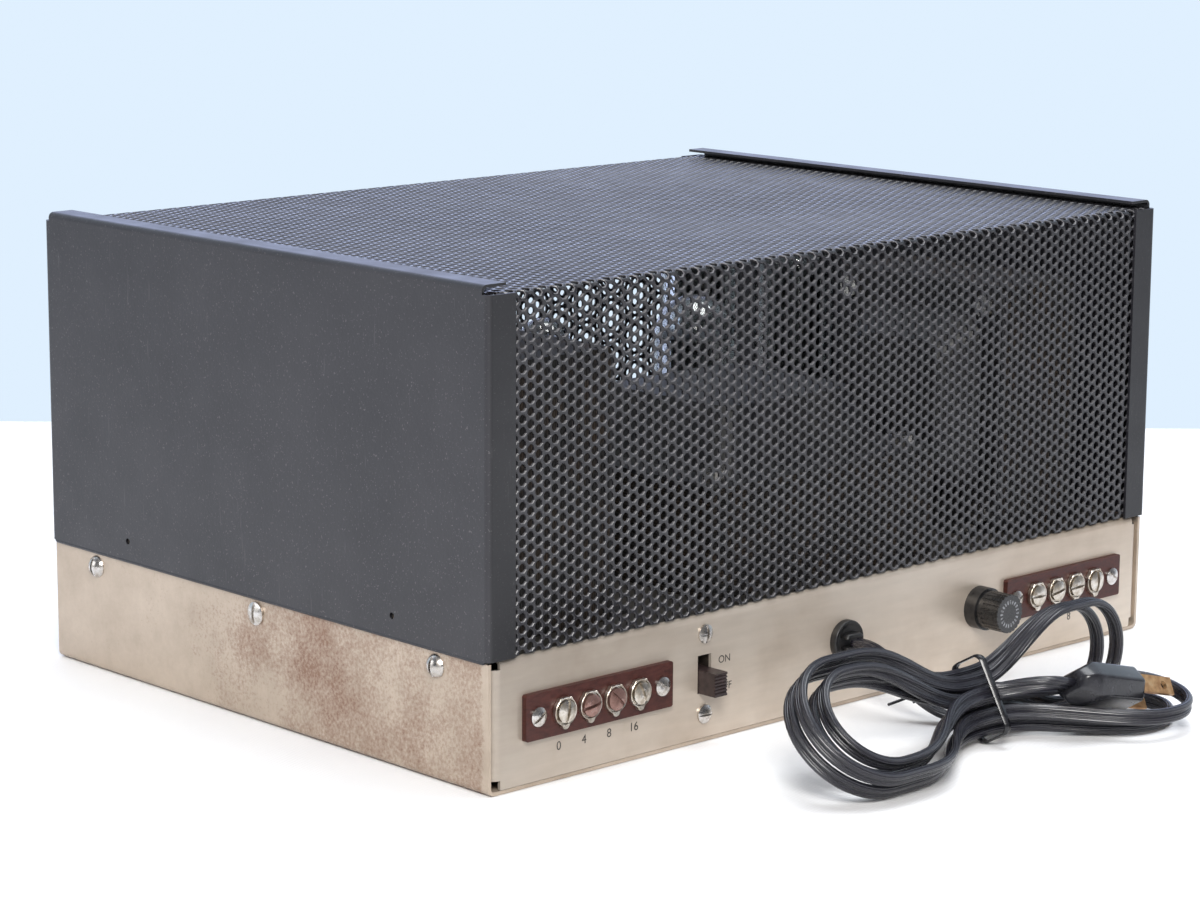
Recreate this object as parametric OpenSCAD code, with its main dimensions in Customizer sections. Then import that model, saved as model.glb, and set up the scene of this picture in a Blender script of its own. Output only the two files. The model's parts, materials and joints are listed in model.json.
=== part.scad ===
// Stereo tube power amplifier with a perforated cage and a tied mains cord.
// Millimetres. The origin is the centre of the bottom plate's underside, +Z is up,
// the input jacks face -Y and the loudspeaker terminals face +Y.

/* [Chassis] */
// Width over the two side plates
chassis_w = 328; // [324:1:345]
// Depth over the front and rear panels
chassis_d = 237; // [234:1:250]
// Height of the chassis top
chassis_h = 44; // [43:0.5:52]
// Thickness of the plated steel
sheet_t = 1.2; // [0.9:0.1:1.5]
// Outside radius of the long top bends
bend_r = 2.5; // [2:0.1:4]
// Outside radius of the upright panel edges
edge_r = 3.5; // [2.5:0.1:5]
// Length of the inward flange behind each upright edge
edge_flange = 8; // [6:1:12]
// Height of the lip under each long side of the top
lip_h = 14; // [12:1:18]
// Height of the relief notches at the panel corners
corner_notch = 3.2; // [2:0.1:5]
// Gap between the side plates' upper edge and the chassis top
side_drop = 0.9; // [0.5:0.1:2]
// Distance of the outer cover screws from the middle of the side
cover_screw_y = 93; // [80:1:98]
// Depth of the cover screws below the chassis top
cover_screw_drop = 6; // [5:0.5:8]
// Diameter of the vent holes in the bottom plate
vent_d = 9; // [5:1:12]
// Spacing of the vent holes
vent_pitch = 16; // [14:1:22]

/* [Cage] */
// Height of the cage's top above the table
cage_top = 163.2; // [160:0.2:175]
// How far the end panels stand out past the side plates
cage_overhang = 1; // [0.5:0.1:2]
// Thickness of the end panels
cage_t = 1; // [0.8:0.1:1.5]
// Width of the upright flanges of the end panels
cage_flange = 11.5; // [8:0.5:16]
// Width of the top flange of the end panels
cage_top_flange = 10; // [8:0.5:14]
// Outside radius of the end panels' bends
cage_bend_r = 2; // [1.5:0.1:3]
// Size of the open notch at the upper corners of the end panels
cage_notch = 3; // [2:0.2:6]
// Thickness of the perforated sheet
mesh_t = 0.9; // [0.7:0.1:1.2]
// Bend radius of the perforated sheet
mesh_r = 3; // [2:0.2:5]
// Air between the top flange and the perforated sheet
mesh_drop = 1.8; // [1:0.2:4]
// Spacing of the perforations, coarser than the real sheet
mesh_pitch = 15; // [13:0.5:20]
// Diameter of the perforations
mesh_hole_d = 11.4; // [8:0.2:12]
// Bare margin round the perforations
mesh_margin = 5; // [4:1:16]
// Distance of the cage lugs from the middle of the side
lug_y = 72.5; // [66:0.5:80]
// Height of the lug holes above the chassis top
lug_hole_h = 6.8; // [5:0.2:9]
// Diameter of the lug holes
lug_hole_d = 2.2; // [1.8:0.1:3]

/* [Rear panel] */
// Height of the rear and front fittings
fitting_z = 23.4; // [21:0.2:26]
// Distance of each terminal strip's end from the side of the chassis
strip_side_gap = 14.1; // [12:0.1:18]
// Length of a terminal strip
strip_l = 65; // [60:0.5:70]
// Height of a terminal strip
strip_h = 15.4; // [14:0.2:17]
// Thickness of a terminal strip
strip_t = 2; // [1.5:0.1:3]
// Spacing of the terminals
terminal_pitch = 11.1; // [10.5:0.1:12]
// Spacing of the two screws of a strip
strip_screw_span = 55; // [52:0.5:58]
// Distance of the power switch from the terminal strip beside it
switch_gap = 16.6; // [15:0.1:20]
// Width of the switch knob
knob_w = 5.7; // [4.5:0.1:7]
// Height of the switch knob
knob_h = 8; // [6:0.2:9]
// How far the switch knob stands out of the panel
knob_out = 8; // [5:0.5:10]
// Travel of the switch knob
knob_travel = 4.5; // [3:0.1:5]
// Spacing of the two screws of a switch
switch_screw_span = 27.6; // [26:0.2:32]
// Distance of the fuse holder from the terminal strip beside it
fuse_gap = 13.9; // [12:0.1:18]
// Diameter of the fuse holder's collar
fuse_collar_d = 15.5; // [14:0.1:17]
// Length of the fuse holder's collar
fuse_collar_l = 5; // [4:0.5:7]
// Diameter of the fuse cap
fuse_cap_d = 14; // [12:0.1:15]
// Length of the fuse cap
fuse_cap_l = 9.6; // [8:0.2:14]
// Diameter of the cartridge fuse
fuse_d = 6.3; // [5:0.1:6.5]
// Length of the cartridge fuse
fuse_l = 31.8; // [20:0.2:32]
// Diameter of the cord gland
gland_d = 14.5; // [13:0.1:17]
// Thickness of the cord gland's flange
gland_t = 3; // [2:0.2:5]

/* [Front panel] */
// Distance of each input jack from the middle
jack_x = 30; // [24:1:36]
// Outside diameter of an input jack
jack_d = 8.3; // [8:0.1:9]
// Bore of an input jack
jack_bore_d = 3.2; // [3:0.1:3.8]
// How far an input jack stands out of the panel
jack_out = 9; // [7:0.5:11]
// Distance of each accessory socket from the side of the chassis
accessory_side_gap = 79; // [54:1:92]

/* [Transformers] */
// Width of the power transformer core
power_core_w = 112; // [108:1:118]
// Depth of the power transformer core
power_core_d = 95; // [90:1:98]
// Height of the power transformer core
power_core_h = 38.5; // [34:0.5:44]
// Height of the power transformer bell
power_bell_h = 23; // [18:0.5:30]
// Distance of the power transformer from the rear panel
power_rear_gap = 10; // [8:0.5:12]
// Spacing of the power transformer bolts across
power_bolt_x = 96; // [94:1:98]
// Spacing of the power transformer bolts front to rear
power_bolt_y = 79; // [76:1:80]
// Stack thickness of an output transformer
output_core_w = 40; // [36:1:44]
// Depth of an output transformer core
output_core_d = 80; // [74:1:86]
// Height of an output transformer core
output_core_h = 91; // [80:1:96]
// Depth of an output transformer bell
output_bell_t = 14.5; // [12:0.5:16]
// Distance of an output transformer from the side of the chassis
output_side_gap = 11; // [9:0.5:14]
// Distance of an output transformer from the rear panel
output_rear_gap = 14.5; // [12:0.5:18]

/* [Tubes] */
// Diameter of a power tube's glass
power_glass_d = 32; // [29:0.5:33]
// Height of a power tube above its socket
power_tube_h = 96; // [88:1:100]
// Diameter of an octal tube base
octal_base_d = 33.6; // [33.4:0.1:35]
// Height of an octal tube base
octal_base_h = 22; // [16:1:26]
// Height of the rectifier tube above its socket
rectifier_h = 80; // [72:1:92]
// Diameter of a driver tube's glass
driver_glass_d = 21; // [19:0.5:22]
// Height of a driver tube above its socket
driver_tube_h = 56; // [46:1:62]
// Distance of the power tubes from the side of the chassis
tube_side_gap = 43; // [40:0.5:46]
// Distance of the front power tubes from the front panel
tube_front_gap = 43.5; // [40:0.5:46]
// Spacing of the power tubes front to rear
tube_pitch = 53; // [48:1:54]
// Distance of the rectifier and the filter capacitor from the middle
rectifier_x = 50; // [48:1:56]
// Diameter of the filter capacitor
capacitor_d = 35; // [32:0.5:36]
// Height of the filter capacitor
capacitor_h = 76; // [60:1:90]

/* [Driver board] */
// Width of the driver board
board_w = 150; // [140:1:156]
// Depth of the driver board
board_d = 72; // [68:1:74]
// Thickness of the driver board
board_t = 1.6; // [1.2:0.1:2]
// Distance of the driver board from the front panel
board_front_gap = 9; // [7:0.5:11]
// Distance of the bias controls from the middle
bias_x = 91; // [89:0.5:94]

/* [Mains cord] */
// Width of the flat twin cord
cord_w = 5.6; // [5.2:0.1:5.8]
// Thickness of the flat twin cord
cord_t = 2.8; // [2.4:0.1:2.9]
// Length of the plug's body
plug_l = 25; // [23:0.5:27]
// Size of the plug across its blades
plug_w = 18.5; // [17.5:0.5:19]
// Size of the plug along its blades' flats
plug_h = 12.5; // [11:0.5:13]
// Length of the plug's blades
blade_l = 16; // [14:0.5:17.5]
// Spacing of the plug's blades
blade_pitch = 12.7; // [12:0.1:12.8]

/* [Hidden] */
$fn = 48;

// Clearances between pieces that are assembled, slide or turn
fit_gap = 0.2;
slide_gap = 0.3;
hole_gap = 0.3;
running_gap = 0.05;
cut = 1;

// Faces of the chassis and the cover
half_w = chassis_w / 2;
lip_x = half_w - sheet_t - fit_gap;
half_d = chassis_d / 2;
inner_d = half_d - sheet_t;
panel_bottom = sheet_t + fit_gap;
under_top = chassis_h - sheet_t;
side_top = chassis_h - side_drop;
cover_screw_z = chassis_h - cover_screw_drop;
lip_half_d = half_d - edge_r - edge_flange - cut;
strip_x = half_w - strip_side_gap - strip_l / 2;
switch_x = strip_x - strip_l / 2 - switch_gap;
fuse_x = strip_x - strip_l / 2 - fuse_gap;
accessory_x = half_w - accessory_side_gap;

// Faces of the cage
cage_x = half_w + cage_overhang;
cage_inner_x = cage_x - cage_t;
cage_half_d = half_d + cage_t;
mesh_top_z = cage_top - cage_t - mesh_drop;
mesh_half_w = cage_inner_x - (cage_bend_r - cage_t) - fit_gap / 2;
mesh_bottom = chassis_h + slide_gap;
lug_x = cage_inner_x - slide_gap;
lug_w = 14;
lug_h = 12;
foot_l = 100;
foot_w = 9;

// Screw sizes
cover_head_d = 8;
cover_shank_d = 3.8;
cover_hole_d = cover_shank_d + hole_gap;
strip_head_d = 6.4;
strip_shank_d = 3;
strip_hole_d = strip_shank_d + hole_gap;
terminal_head_d = 7.4;
terminal_head_h = 2.2;
terminal_rim_h = 1.4;
terminal_shank_d = 3.4;
terminal_plate_w = 9.6;
terminal_plate_t = 0.8;
bolt_d = 4.6;
bolt_hole_d = bolt_d + hole_gap;
bolt_head_d = 9;
bolt_head_h = 3.4;

// Places on the chassis top
power_y = half_d - power_rear_gap - power_core_d / 2;
power_top = chassis_h + power_core_h;
output_w = output_core_w + 2 * output_bell_t;
output_x = half_w - output_side_gap - output_w / 2;
output_y = half_d - output_rear_gap - output_core_d / 2;
tube_x = half_w - tube_side_gap;
tube_y = [-half_d + tube_front_gap, -half_d + tube_front_gap + tube_pitch];
rectifier_y = power_y - power_core_d / 2 - octal_base_d / 2 - 2.5;
board_y = -half_d + board_front_gap + board_d / 2;
driver_x = 34;
bias_y = (tube_y[0] + tube_y[1]) / 2;
bias_body_d = 17;
bias_body_h = 8;
bias_bush_d = 9.4;
bias_bush_h = 7;
bias_shaft_d = 6.2;
choke_pos = [82, power_y];
choke_size = [52, 40, 30];

// Octal and noval sockets
octal_hole_d = 28;
octal_body_d = 27.6;
octal_body_h = 8;
octal_rim_d = 36;
octal_rim_t = 1;
octal_key_d = 8;
octal_top = chassis_h + octal_rim_t;
glass_t = 1;
noval_d = 22;
noval_h = 8;

// Slide switches
switch_slot_h = knob_h + knob_travel + 2 * slide_gap;
switch_slot_w = knob_w + 2 * slide_gap;
switch_body_h = 24;
switch_body_w = 12;
switch_body_l = 13;
switch_frame_t = 0.8;
switch_frame_w = 9.6;
knob_base_l = 4;
mode_travel = 4;
mode_knob_l = 6;
mode_knob_w = 5;
mode_knob_out = 4;
mode_slot_l = mode_knob_l + mode_travel + 2 * slide_gap;
mode_slot_w = mode_knob_w + 2 * slide_gap;

// Fuse holder
fuse_thread_d = 12.4;
fuse_bore_d = 8.4;
fuse_plug_d = fuse_bore_d - 2 * running_gap;
fuse_plug_l = 6;
fuse_seat_l = 5;
fuse_cap_y = half_d + fuse_collar_l + fit_gap;
fuse_end_y = fuse_cap_y - fuse_plug_l + fuse_seat_l - fit_gap;
fuse_depth_y = fuse_end_y - fuse_l - fit_gap;
fuse_wall = 3;

// Two sides of the amplifier
sides = [1, -1];

// Outlines and small shapes that several pieces share
module rounded_rect(w, h, r) {
  square([w - 2 * r, h], center = true);
  square([w, h - 2 * r], center = true);
  for (x = sides, y = sides) translate([x * (w / 2 - r), y * (h / 2 - r)]) circle(r = r);
}

// Outline with two round upper corners
module arch(w, bottom, top, r) {
  translate([-w / 2, bottom]) square([w, top - r - bottom]);
  translate([-w / 2 + r, bottom]) square([w - 2 * r, top - bottom]);
  for (x = sides) translate([x * (w / 2 - r), top - r]) circle(r = r);
}

// Sheet bent down on two sides, as a flat profile
module bent_sheet(w, bottom, top, r, t) {
  difference() {
    arch(w, bottom, top, r);
    arch(w - 2 * t, bottom - cut, top - t, r - t);
  }
}

// Profile in Y and Z, extruded along X
module along_x(l) {
  rotate([90, 0, 90]) linear_extrude(l, center = true) children();
}

// Profile in X and Z, extruded along Y
module along_y(l) {
  rotate([90, 0, 0]) linear_extrude(l, center = true) children();
}

// Screw standing on its seat, with its head towards +Z: a domed top over a straight rim
module screw(head_d, head_h, rim_h, shank_d, shank_l, slot_w) {
  dome_h = head_h - rim_h;
  ball_r = (head_d * head_d / 4 + dome_h * dome_h) / (2 * dome_h);
  difference() {
    rotate_extrude() intersection() {
      translate([0, head_h - ball_r]) circle(r = ball_r);
      square([head_d / 2, head_h + cut]);
    }
    translate([-head_d, -slot_w / 2, head_h * 0.45]) cube([2 * head_d, slot_w, head_h]);
  }
  translate([0, 0, -shank_l]) cylinder(d = shank_d, h = shank_l);
}

// Hexagon bolt with a nut, its head seated at the origin and its nut below the clamped stack
module bolt(stack_l) {
  cylinder(d = bolt_head_d, h = bolt_head_h, $fn = 6);
  translate([0, 0, -stack_l - bolt_head_h]) cylinder(d = bolt_d, h = stack_l + bolt_head_h);
  translate([0, 0, -stack_l - bolt_head_h]) cylinder(d = bolt_head_d, h = bolt_head_h, $fn = 6);
}

// A piece on the rear or the front panel, drawn with its seat at the origin facing +Z
module on_rear(x, z) {
  translate([x, half_d, z]) rotate([-90, 0, 0]) children();
}

module on_front(x, z) {
  translate([x, -half_d, z]) rotate([90, 0, 0]) children();
}

// Through hole for a rear or front fitting
module panel_hole(d) {
  translate([0, 0, -sheet_t - cut]) cylinder(d = d, h = sheet_t + 2 * cut);
}

// Cut-out for a socket that is held by its flange, a little squarer than round
module panel_cutout(w) {
  translate([0, 0, -sheet_t - cut]) linear_extrude(sheet_t + 2 * cut) rounded_rect(w, w, w / 2 - hole_gap);
}

module panel_slot(w, h) {
  translate([0, 0, -sheet_t / 2]) cube([w, h, sheet_t + 2 * cut], center = true);
}

// Chassis: folded top with front and rear panels, side lips and four cage lugs
module edge_bend() {
  translate([lip_x - edge_r, half_d - edge_r]) intersection() {
    difference() {
      circle(r = edge_r);
      circle(r = edge_r - sheet_t);
    }
    square(edge_r + cut);
  }
  translate([lip_x - sheet_t, half_d - edge_r - edge_flange]) square([sheet_t, edge_flange]);
}

module cage_lug() {
  translate([0, -lug_w / 2, 0]) cube([sheet_t, lug_w, lug_h]);
  translate([-foot_w, -lug_w / 2, 0]) cube([foot_w, lug_w, sheet_t]);
}

module top_hole(x, y, d) {
  translate([x, y, under_top - cut]) cylinder(d = d, h = sheet_t + 2 * cut);
}

module side_hole(x, y, z, d) {
  translate([x, y, z]) rotate([0, 90, 0]) cylinder(d = d, h = 4 * sheet_t, center = true);
}

module chassis_cuts() {
  for (s = sides) {
    on_rear(s * strip_x, fitting_z) panel_slot(4 * terminal_pitch, strip_h / 2);
    for (e = sides) {
      on_rear(s * strip_x + e * strip_screw_span / 2, fitting_z) panel_hole(strip_hole_d);
      side_hole(s * lug_x, e * lug_y, chassis_h + lug_hole_h, lug_hole_d);
      top_hole(s * power_bolt_x / 2, power_y + e * power_bolt_y / 2, bolt_hole_d);
      for (b = sides) top_hole(output_foot_x(s, b), output_foot_y(e), strip_hole_d);
    }
    on_rear(switch_x, fitting_z + s * switch_screw_span / 2) panel_hole(strip_hole_d);
    on_front(s * switch_screw_span / 2, fitting_z) panel_hole(strip_hole_d);
    on_front(s * jack_x, fitting_z) panel_hole(jack_d + hole_gap);
    on_front(s * accessory_x, fitting_z) panel_cutout(octal_hole_d);
    for (y = tube_y) top_hole(s * tube_x, y, octal_hole_d);
    top_hole(s * bias_x, bias_y, bias_bush_d + hole_gap);
    for (y = [-cover_screw_y, 0, cover_screw_y]) side_hole(s * lip_x, y, cover_screw_z, cover_hole_d);
  }
  top_hole(rectifier_x, rectifier_y, capacitor_d + hole_gap);
  top_hole(-rectifier_x, rectifier_y, octal_hole_d);
  on_rear(switch_x, fitting_z) panel_slot(switch_slot_w, switch_slot_h);
  on_front(0, fitting_z) panel_slot(mode_slot_l, mode_slot_w);
  on_rear(0, fitting_z) panel_hole(gland_d - 2);
  on_rear(-fuse_x, fitting_z) panel_hole(fuse_thread_d + hole_gap);
  translate([0, power_y, chassis_h])
    cube([power_coil_w + 2 * coil_gap, power_coil_d + 2 * coil_gap, 4 * sheet_t], center = true);
  translate([0, board_y, chassis_h])
    cube([board_w - 2 * board_rim_x, board_d - 2 * board_rim_y, 4 * sheet_t], center = true);
}

module chassis() {
  color("#b5a895") difference() {
    union() {
      along_x(2 * (lip_x - edge_r)) bent_sheet(chassis_d, panel_bottom, chassis_h, bend_r, sheet_t);
      along_y(2 * lip_half_d) bent_sheet(2 * lip_x, chassis_h - lip_h, chassis_h, bend_r, sheet_t);
      for (a = [0, 1], b = [0, 1]) mirror([a, 0, 0]) mirror([0, b, 0])
        translate([0, 0, panel_bottom + corner_notch])
          linear_extrude(chassis_h - panel_bottom - 2 * corner_notch) edge_bend();
      for (a = [0, 1], e = sides) mirror([a, 0, 0])
        translate([lug_x - sheet_t, e * lug_y, chassis_h]) cage_lug();
    }
    chassis_cuts();
  }
}

// Bottom cover: a plate with both side plates turned up
module bottom_cover() {
  color("#9c8a72") difference() {
    along_y(chassis_d - 2 * fit_gap) translate([0, side_top]) mirror([0, 1])
      bent_sheet(chassis_w, 0, side_top, bend_r, sheet_t);
    for (s = sides, y = [-cover_screw_y, 0, cover_screw_y])
      side_hole(s * half_w, y, cover_screw_z, cover_hole_d);
    for (s = sides, i = [-2 : 2], j = [-2 : 2]) if (abs(i) + abs(j) < 4)
      translate([s * (half_w - 60) + i * vent_pitch, bias_y + j * vent_pitch, -cut])
        cylinder(d = vent_d, h = sheet_t + 2 * cut);
  }
}

module cover_screws() {
  color("silver") for (a = [0, 1]) mirror([a, 0, 0]) {
    for (y = [-cover_screw_y, cover_screw_y]) translate([half_w, y, cover_screw_z]) rotate([0, 90, 0])
      screw(cover_head_d, 2.8, 0.2, cover_shank_d, 6, 0.9);
    translate([half_w, 0, cover_screw_z]) rotate([0, 90, 0])
      screw(cover_head_d, 1.8, 0.8, cover_shank_d, 6, 1.2);
  }
}

// Cage: two folded end panels and a perforated sheet bent over front, top and rear
module cage_end() {
  difference() {
    union() {
      translate([0, 0, chassis_h]) linear_extrude(cage_top - cage_notch - chassis_h) rotate(-90)
        bent_sheet(2 * cage_half_d, cage_x - cage_flange, cage_x, cage_bend_r, cage_t);
      along_y(2 * (cage_half_d - cage_notch)) intersection() {
        bent_sheet(2 * cage_x, cage_top - cage_notch - cut, cage_top, cage_bend_r, cage_t);
        translate([cage_x - cage_top_flange, cage_top - cage_notch - cut])
          square([cage_top_flange, cage_notch + cut]);
      }
      translate([cage_x - foot_w, -foot_l / 2, chassis_h]) cube([foot_w, foot_l, cage_t]);
    }
    for (e = sides) translate([cage_x, e * lug_y, chassis_h + lug_hole_h]) rotate([0, 90, 0])
      cylinder(d = lug_hole_d, h = 4 * cage_t, center = true);
  }
}

module cage_end_right() {
  color("#33323a") cage_end();
}

module cage_end_left() {
  color("#33323a") mirror([1, 0, 0]) cage_end();
}

// Flat sheet with staggered round holes inside a bare margin, centred on the origin
module perforated(w, h) {
  column = mesh_pitch * sin(60);
  columns = floor((w / 2 - mesh_margin - mesh_hole_d / 2) / column);
  rows = floor((h / 2 - mesh_margin / 2 - mesh_hole_d / 2) / mesh_pitch);
  difference() {
    square([w, h], center = true);
    for (i = [-columns : columns], j = [-rows : rows - abs(i) % 2])
      translate([i * column, (j + abs(i) % 2 / 2) * mesh_pitch]) circle(d = mesh_hole_d);
  }
}

module mesh_side() {
  side_h = mesh_top_z - mesh_r - mesh_bottom;
  translate([0, half_d, mesh_bottom + side_h / 2]) rotate([90, 0, 0]) linear_extrude(mesh_t)
    perforated(2 * mesh_half_w, side_h);
}

module mesh_rear() {
  color("#26262b") mesh_side();
}

module mesh_front() {
  color("#26262b") mirror([0, 1, 0]) mesh_side();
}

module mesh_top() {
  flat_d = chassis_d - 2 * mesh_r;
  color("#26262b") {
    translate([0, 0, mesh_top_z - mesh_t]) linear_extrude(mesh_t) perforated(2 * mesh_half_w, flat_d);
    for (b = [0, 1]) mirror([0, b, 0]) along_x(2 * mesh_half_w)
      translate([half_d - mesh_r, mesh_top_z - mesh_r]) intersection() {
        difference() {
          circle(r = mesh_r);
          circle(r = mesh_r - mesh_t);
        }
        square(mesh_r);
      }
  }
}

// Power transformer: flat-laid core with its winding below, a top bell and four through bolts
power_coil_w = 72;
power_coil_d = 54;
power_coil_drop = 18;
power_coil_r = 8;
coil_gap = 1;
power_flange_t = 1.2;

module power_bolts_at() {
  for (x = sides, y = sides) translate([x * power_bolt_x / 2, power_y + y * power_bolt_y / 2, 0]) children();
}

module power_transformer_core() {
  color("#4a4744") {
    difference() {
      translate([-power_core_w / 2, power_y - power_core_d / 2, chassis_h])
        cube([power_core_w, power_core_d, power_core_h]);
      power_bolts_at() translate([0, 0, chassis_h - cut])
        cylinder(d = bolt_hole_d, h = power_core_h + 2 * cut);
    }
    translate([0, power_y, chassis_h - sheet_t - power_coil_drop])
      linear_extrude(sheet_t + power_coil_drop) rounded_rect(power_coil_w, power_coil_d, power_coil_r);
  }
}

module power_transformer_bell() {
  color("#2b2b2e") difference() {
    translate([0, power_y, power_top]) {
      linear_extrude(power_flange_t) rounded_rect(power_core_w, power_core_d, 6);
      hull() {
        linear_extrude(power_flange_t) rounded_rect(power_core_w - 26, power_core_d - 14, 12, $fn = 32);
        translate([0, 0, power_bell_h - 1]) linear_extrude(1)
          rounded_rect(power_core_w - 46, power_core_d - 32, 10, $fn = 32);
      }
    }
    power_bolts_at() translate([0, 0, power_top - cut])
      cylinder(d = bolt_hole_d, h = power_flange_t + 2 * cut);
  }
}

module power_transformer_bolts() {
  color("silver") power_bolts_at() translate([0, 0, power_top + power_flange_t])
    bolt(power_core_h + power_flange_t + sheet_t);
}

// Output transformers: upright cores between two domed bells with feet
output_foot_w = 11;
output_foot_t = 1.2;
output_foot_span = 60;
output_bolt_span_y = 66;
output_bolt_span_z = 77;
output_mid_z = chassis_h + output_core_h / 2;

// Foot screws of the bell on side b of the transformer on side s
function output_foot_x(s, b) = s * output_x
  + b * (output_core_w / 2 + output_foot_w / 2 + output_foot_t / 2);
function output_foot_y(e) = output_y + e * output_foot_span / 2;

module output_bolts_at() {
  for (y = sides, z = sides)
    translate([0, output_y + y * output_bolt_span_y / 2, output_mid_z + z * output_bolt_span_z / 2])
      children();
}

module output_core() {
  color("#4a4744") difference() {
    translate([-output_core_w / 2, output_y - output_core_d / 2, chassis_h])
      cube([output_core_w, output_core_d, output_core_h]);
    output_bolts_at() rotate([0, 90, 0])
      cylinder(d = bolt_hole_d, h = output_core_w + 2 * cut, center = true);
  }
}

module output_slice(x, t, d, h, r) {
  translate([output_core_w / 2 + x + t / 2, output_y, output_mid_z])
    along_x(t) rounded_rect(d, h, r, $fn = 32);
}

module output_bell() {
  difference() {
    union() {
      output_slice(0, output_foot_t, output_core_d, output_core_h, 3);
      hull() {
        output_slice(0, output_foot_t, output_core_d - 20, output_core_h - 22, 10);
        output_slice(output_bell_t - 1, 1, output_core_d - 38, output_core_h - 42, 8);
      }
      translate([output_core_w / 2, output_y - output_core_d / 2 + 3, chassis_h])
        cube([output_foot_w + output_foot_t, output_core_d - 6, output_foot_t]);
    }
    output_bolts_at() rotate([0, 90, 0]) cylinder(d = bolt_hole_d, h = 2 * output_w, center = true);
    for (e = sides) translate([output_foot_x(0, 1), output_foot_y(e), chassis_h - cut])
      cylinder(d = strip_hole_d, h = output_foot_t + 2 * cut);
  }
}

module output_bells() {
  color("#2b2b2e") for (a = [0, 1]) mirror([a, 0, 0]) output_bell();
}

module output_core_right() {
  translate([output_x, 0, 0]) output_core();
}

module output_core_left() {
  translate([-output_x, 0, 0]) output_core();
}

module output_bells_right() {
  translate([output_x, 0, 0]) output_bells();
}

module output_bells_left() {
  translate([-output_x, 0, 0]) output_bells();
}

module output_bolts() {
  color("silver") for (s = sides) {
    translate([s * output_x + output_core_w / 2 + output_foot_t, 0, 0]) output_bolts_at()
      rotate([0, 90, 0]) bolt(output_core_w + 2 * output_foot_t);
    for (b = sides, e = sides) translate([output_foot_x(s, b), output_foot_y(e), chassis_h + output_foot_t])
      screw(strip_head_d, 2.2, 0.9, strip_shank_d, 6, 0.8);
  }
}

// Filter choke hung under the chassis top, and the filter capacitor through it
module filter_choke() {
  color("#55504a") translate([choke_pos[0], choke_pos[1], under_top]) {
    translate([-choke_size[0] / 2, -choke_size[1] / 2, -choke_size[2]]) cube(choke_size);
    translate([0, 0, -choke_size[2] / 2]) along_y(choke_size[1] + 16)
      rounded_rect(choke_size[0] * 0.6, choke_size[2] * 0.7, 4);
  }
}

module filter_capacitor() {
  drop = 6;
  rim = 1.5;
  color("#b9bcc0") translate([rectifier_x, rectifier_y, chassis_h]) {
    rotate_extrude() {
      translate([0, -drop]) square([capacitor_d / 2, drop + capacitor_h - rim]);
      translate([0, capacitor_h - 2 * rim]) square([capacitor_d / 2 - rim, 2 * rim]);
      translate([capacitor_d / 2 - rim, capacitor_h - rim]) circle(r = rim);
    }
    cylinder(d = capacitor_d + 5, h = 1);
  }
}

// Octal sockets and tubes
module octal_socket() {
  rotate_extrude() difference() {
    union() {
      translate([0, -octal_body_h]) square([octal_body_d / 2, octal_body_h]);
      square([octal_rim_d / 2, octal_rim_t]);
    }
    translate([-cut, -octal_body_h - cut]) square([octal_key_d / 2 + fit_gap + cut, octal_body_h + 3 * cut]);
  }
}

octal_places = [
  [tube_x, tube_y[0]], [tube_x, tube_y[1]], [-tube_x, tube_y[0]], [-tube_x, tube_y[1]],
  [-rectifier_x, rectifier_y]
];
power_places = [for (i = [0 : 3]) octal_places[i]];

module at_places(places) {
  for (p = places) translate([p[0], p[1], octal_top]) children();
}

module octal_sockets() {
  color("#3a2d26") at_places(octal_places) translate([0, 0, -octal_rim_t]) octal_socket();
}

base_cup = 5;

module octal_base() {
  difference() {
    cylinder(d = octal_base_d, h = octal_base_h);
    translate([0, 0, octal_base_h - base_cup]) cylinder(d = power_glass_d + 2 * fit_gap, h = base_cup + cut);
  }
  translate([0, 0, -octal_body_h]) cylinder(d = octal_key_d, h = octal_body_h + cut);
}

module octal_bases() {
  color("#241c18") at_places(octal_places) octal_base();
}

// Domed glass envelope, open below
module envelope(d, h) {
  rotate_extrude() difference() {
    intersection() {
      union() {
        square([d / 2, h - d / 2]);
        translate([0, h - d / 2]) circle(d = d);
      }
      square([d, h + cut]);
    }
    intersection() {
      union() {
        translate([0, -cut]) square([d / 2 - glass_t, h - d / 2 + cut]);
        translate([0, h - d / 2]) circle(d = d - 2 * glass_t);
      }
      translate([0, -cut]) square([d, h + 2 * cut]);
    }
  }
}

// Grey plate with rounded wings between two mica discs on a stem
module electrodes(d, h, plate_w, plate_d, plate_h, stem_d) {
  mica_d = d - 2 * glass_t - 2 * slide_gap;
  low = h - d / 2 - plate_h;
  linear_extrude(low) circle(d = stem_d);
  translate([0, 0, low - 0.6]) cylinder(d = mica_d, h = 0.6);
  translate([0, 0, low]) linear_extrude(plate_h) {
    rounded_rect(plate_w, plate_d * 0.45, plate_d * 0.2);
    circle(d = plate_d);
  }
  translate([0, 0, low + plate_h]) cylinder(d = mica_d, h = 0.6);
  translate([0, 0, low + plate_h]) cylinder(d = 3, h = 6);
}

glass_low = octal_base_h - base_cup;

module power_tube_glass() {
  color("#dfe6e4", 0.35) at_places(power_places) translate([0, 0, glass_low])
    envelope(power_glass_d, power_tube_h - glass_low);
}

module power_tube_plates() {
  color("#5d5d60") at_places(power_places) translate([0, 0, glass_low])
    electrodes(power_glass_d, power_tube_h - glass_low, 25, 17, 40, 14);
}

module rectifier_glass() {
  color("#dfe6e4", 0.35) at_places([octal_places[4]]) translate([0, 0, glass_low])
    envelope(power_glass_d, rectifier_h - glass_low);
}

module rectifier_plates() {
  color("#5d5d60") at_places([octal_places[4]]) translate([0, 0, glass_low])
    electrodes(power_glass_d, rectifier_h - glass_low, 24, 11, 30, 14);
}

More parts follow.
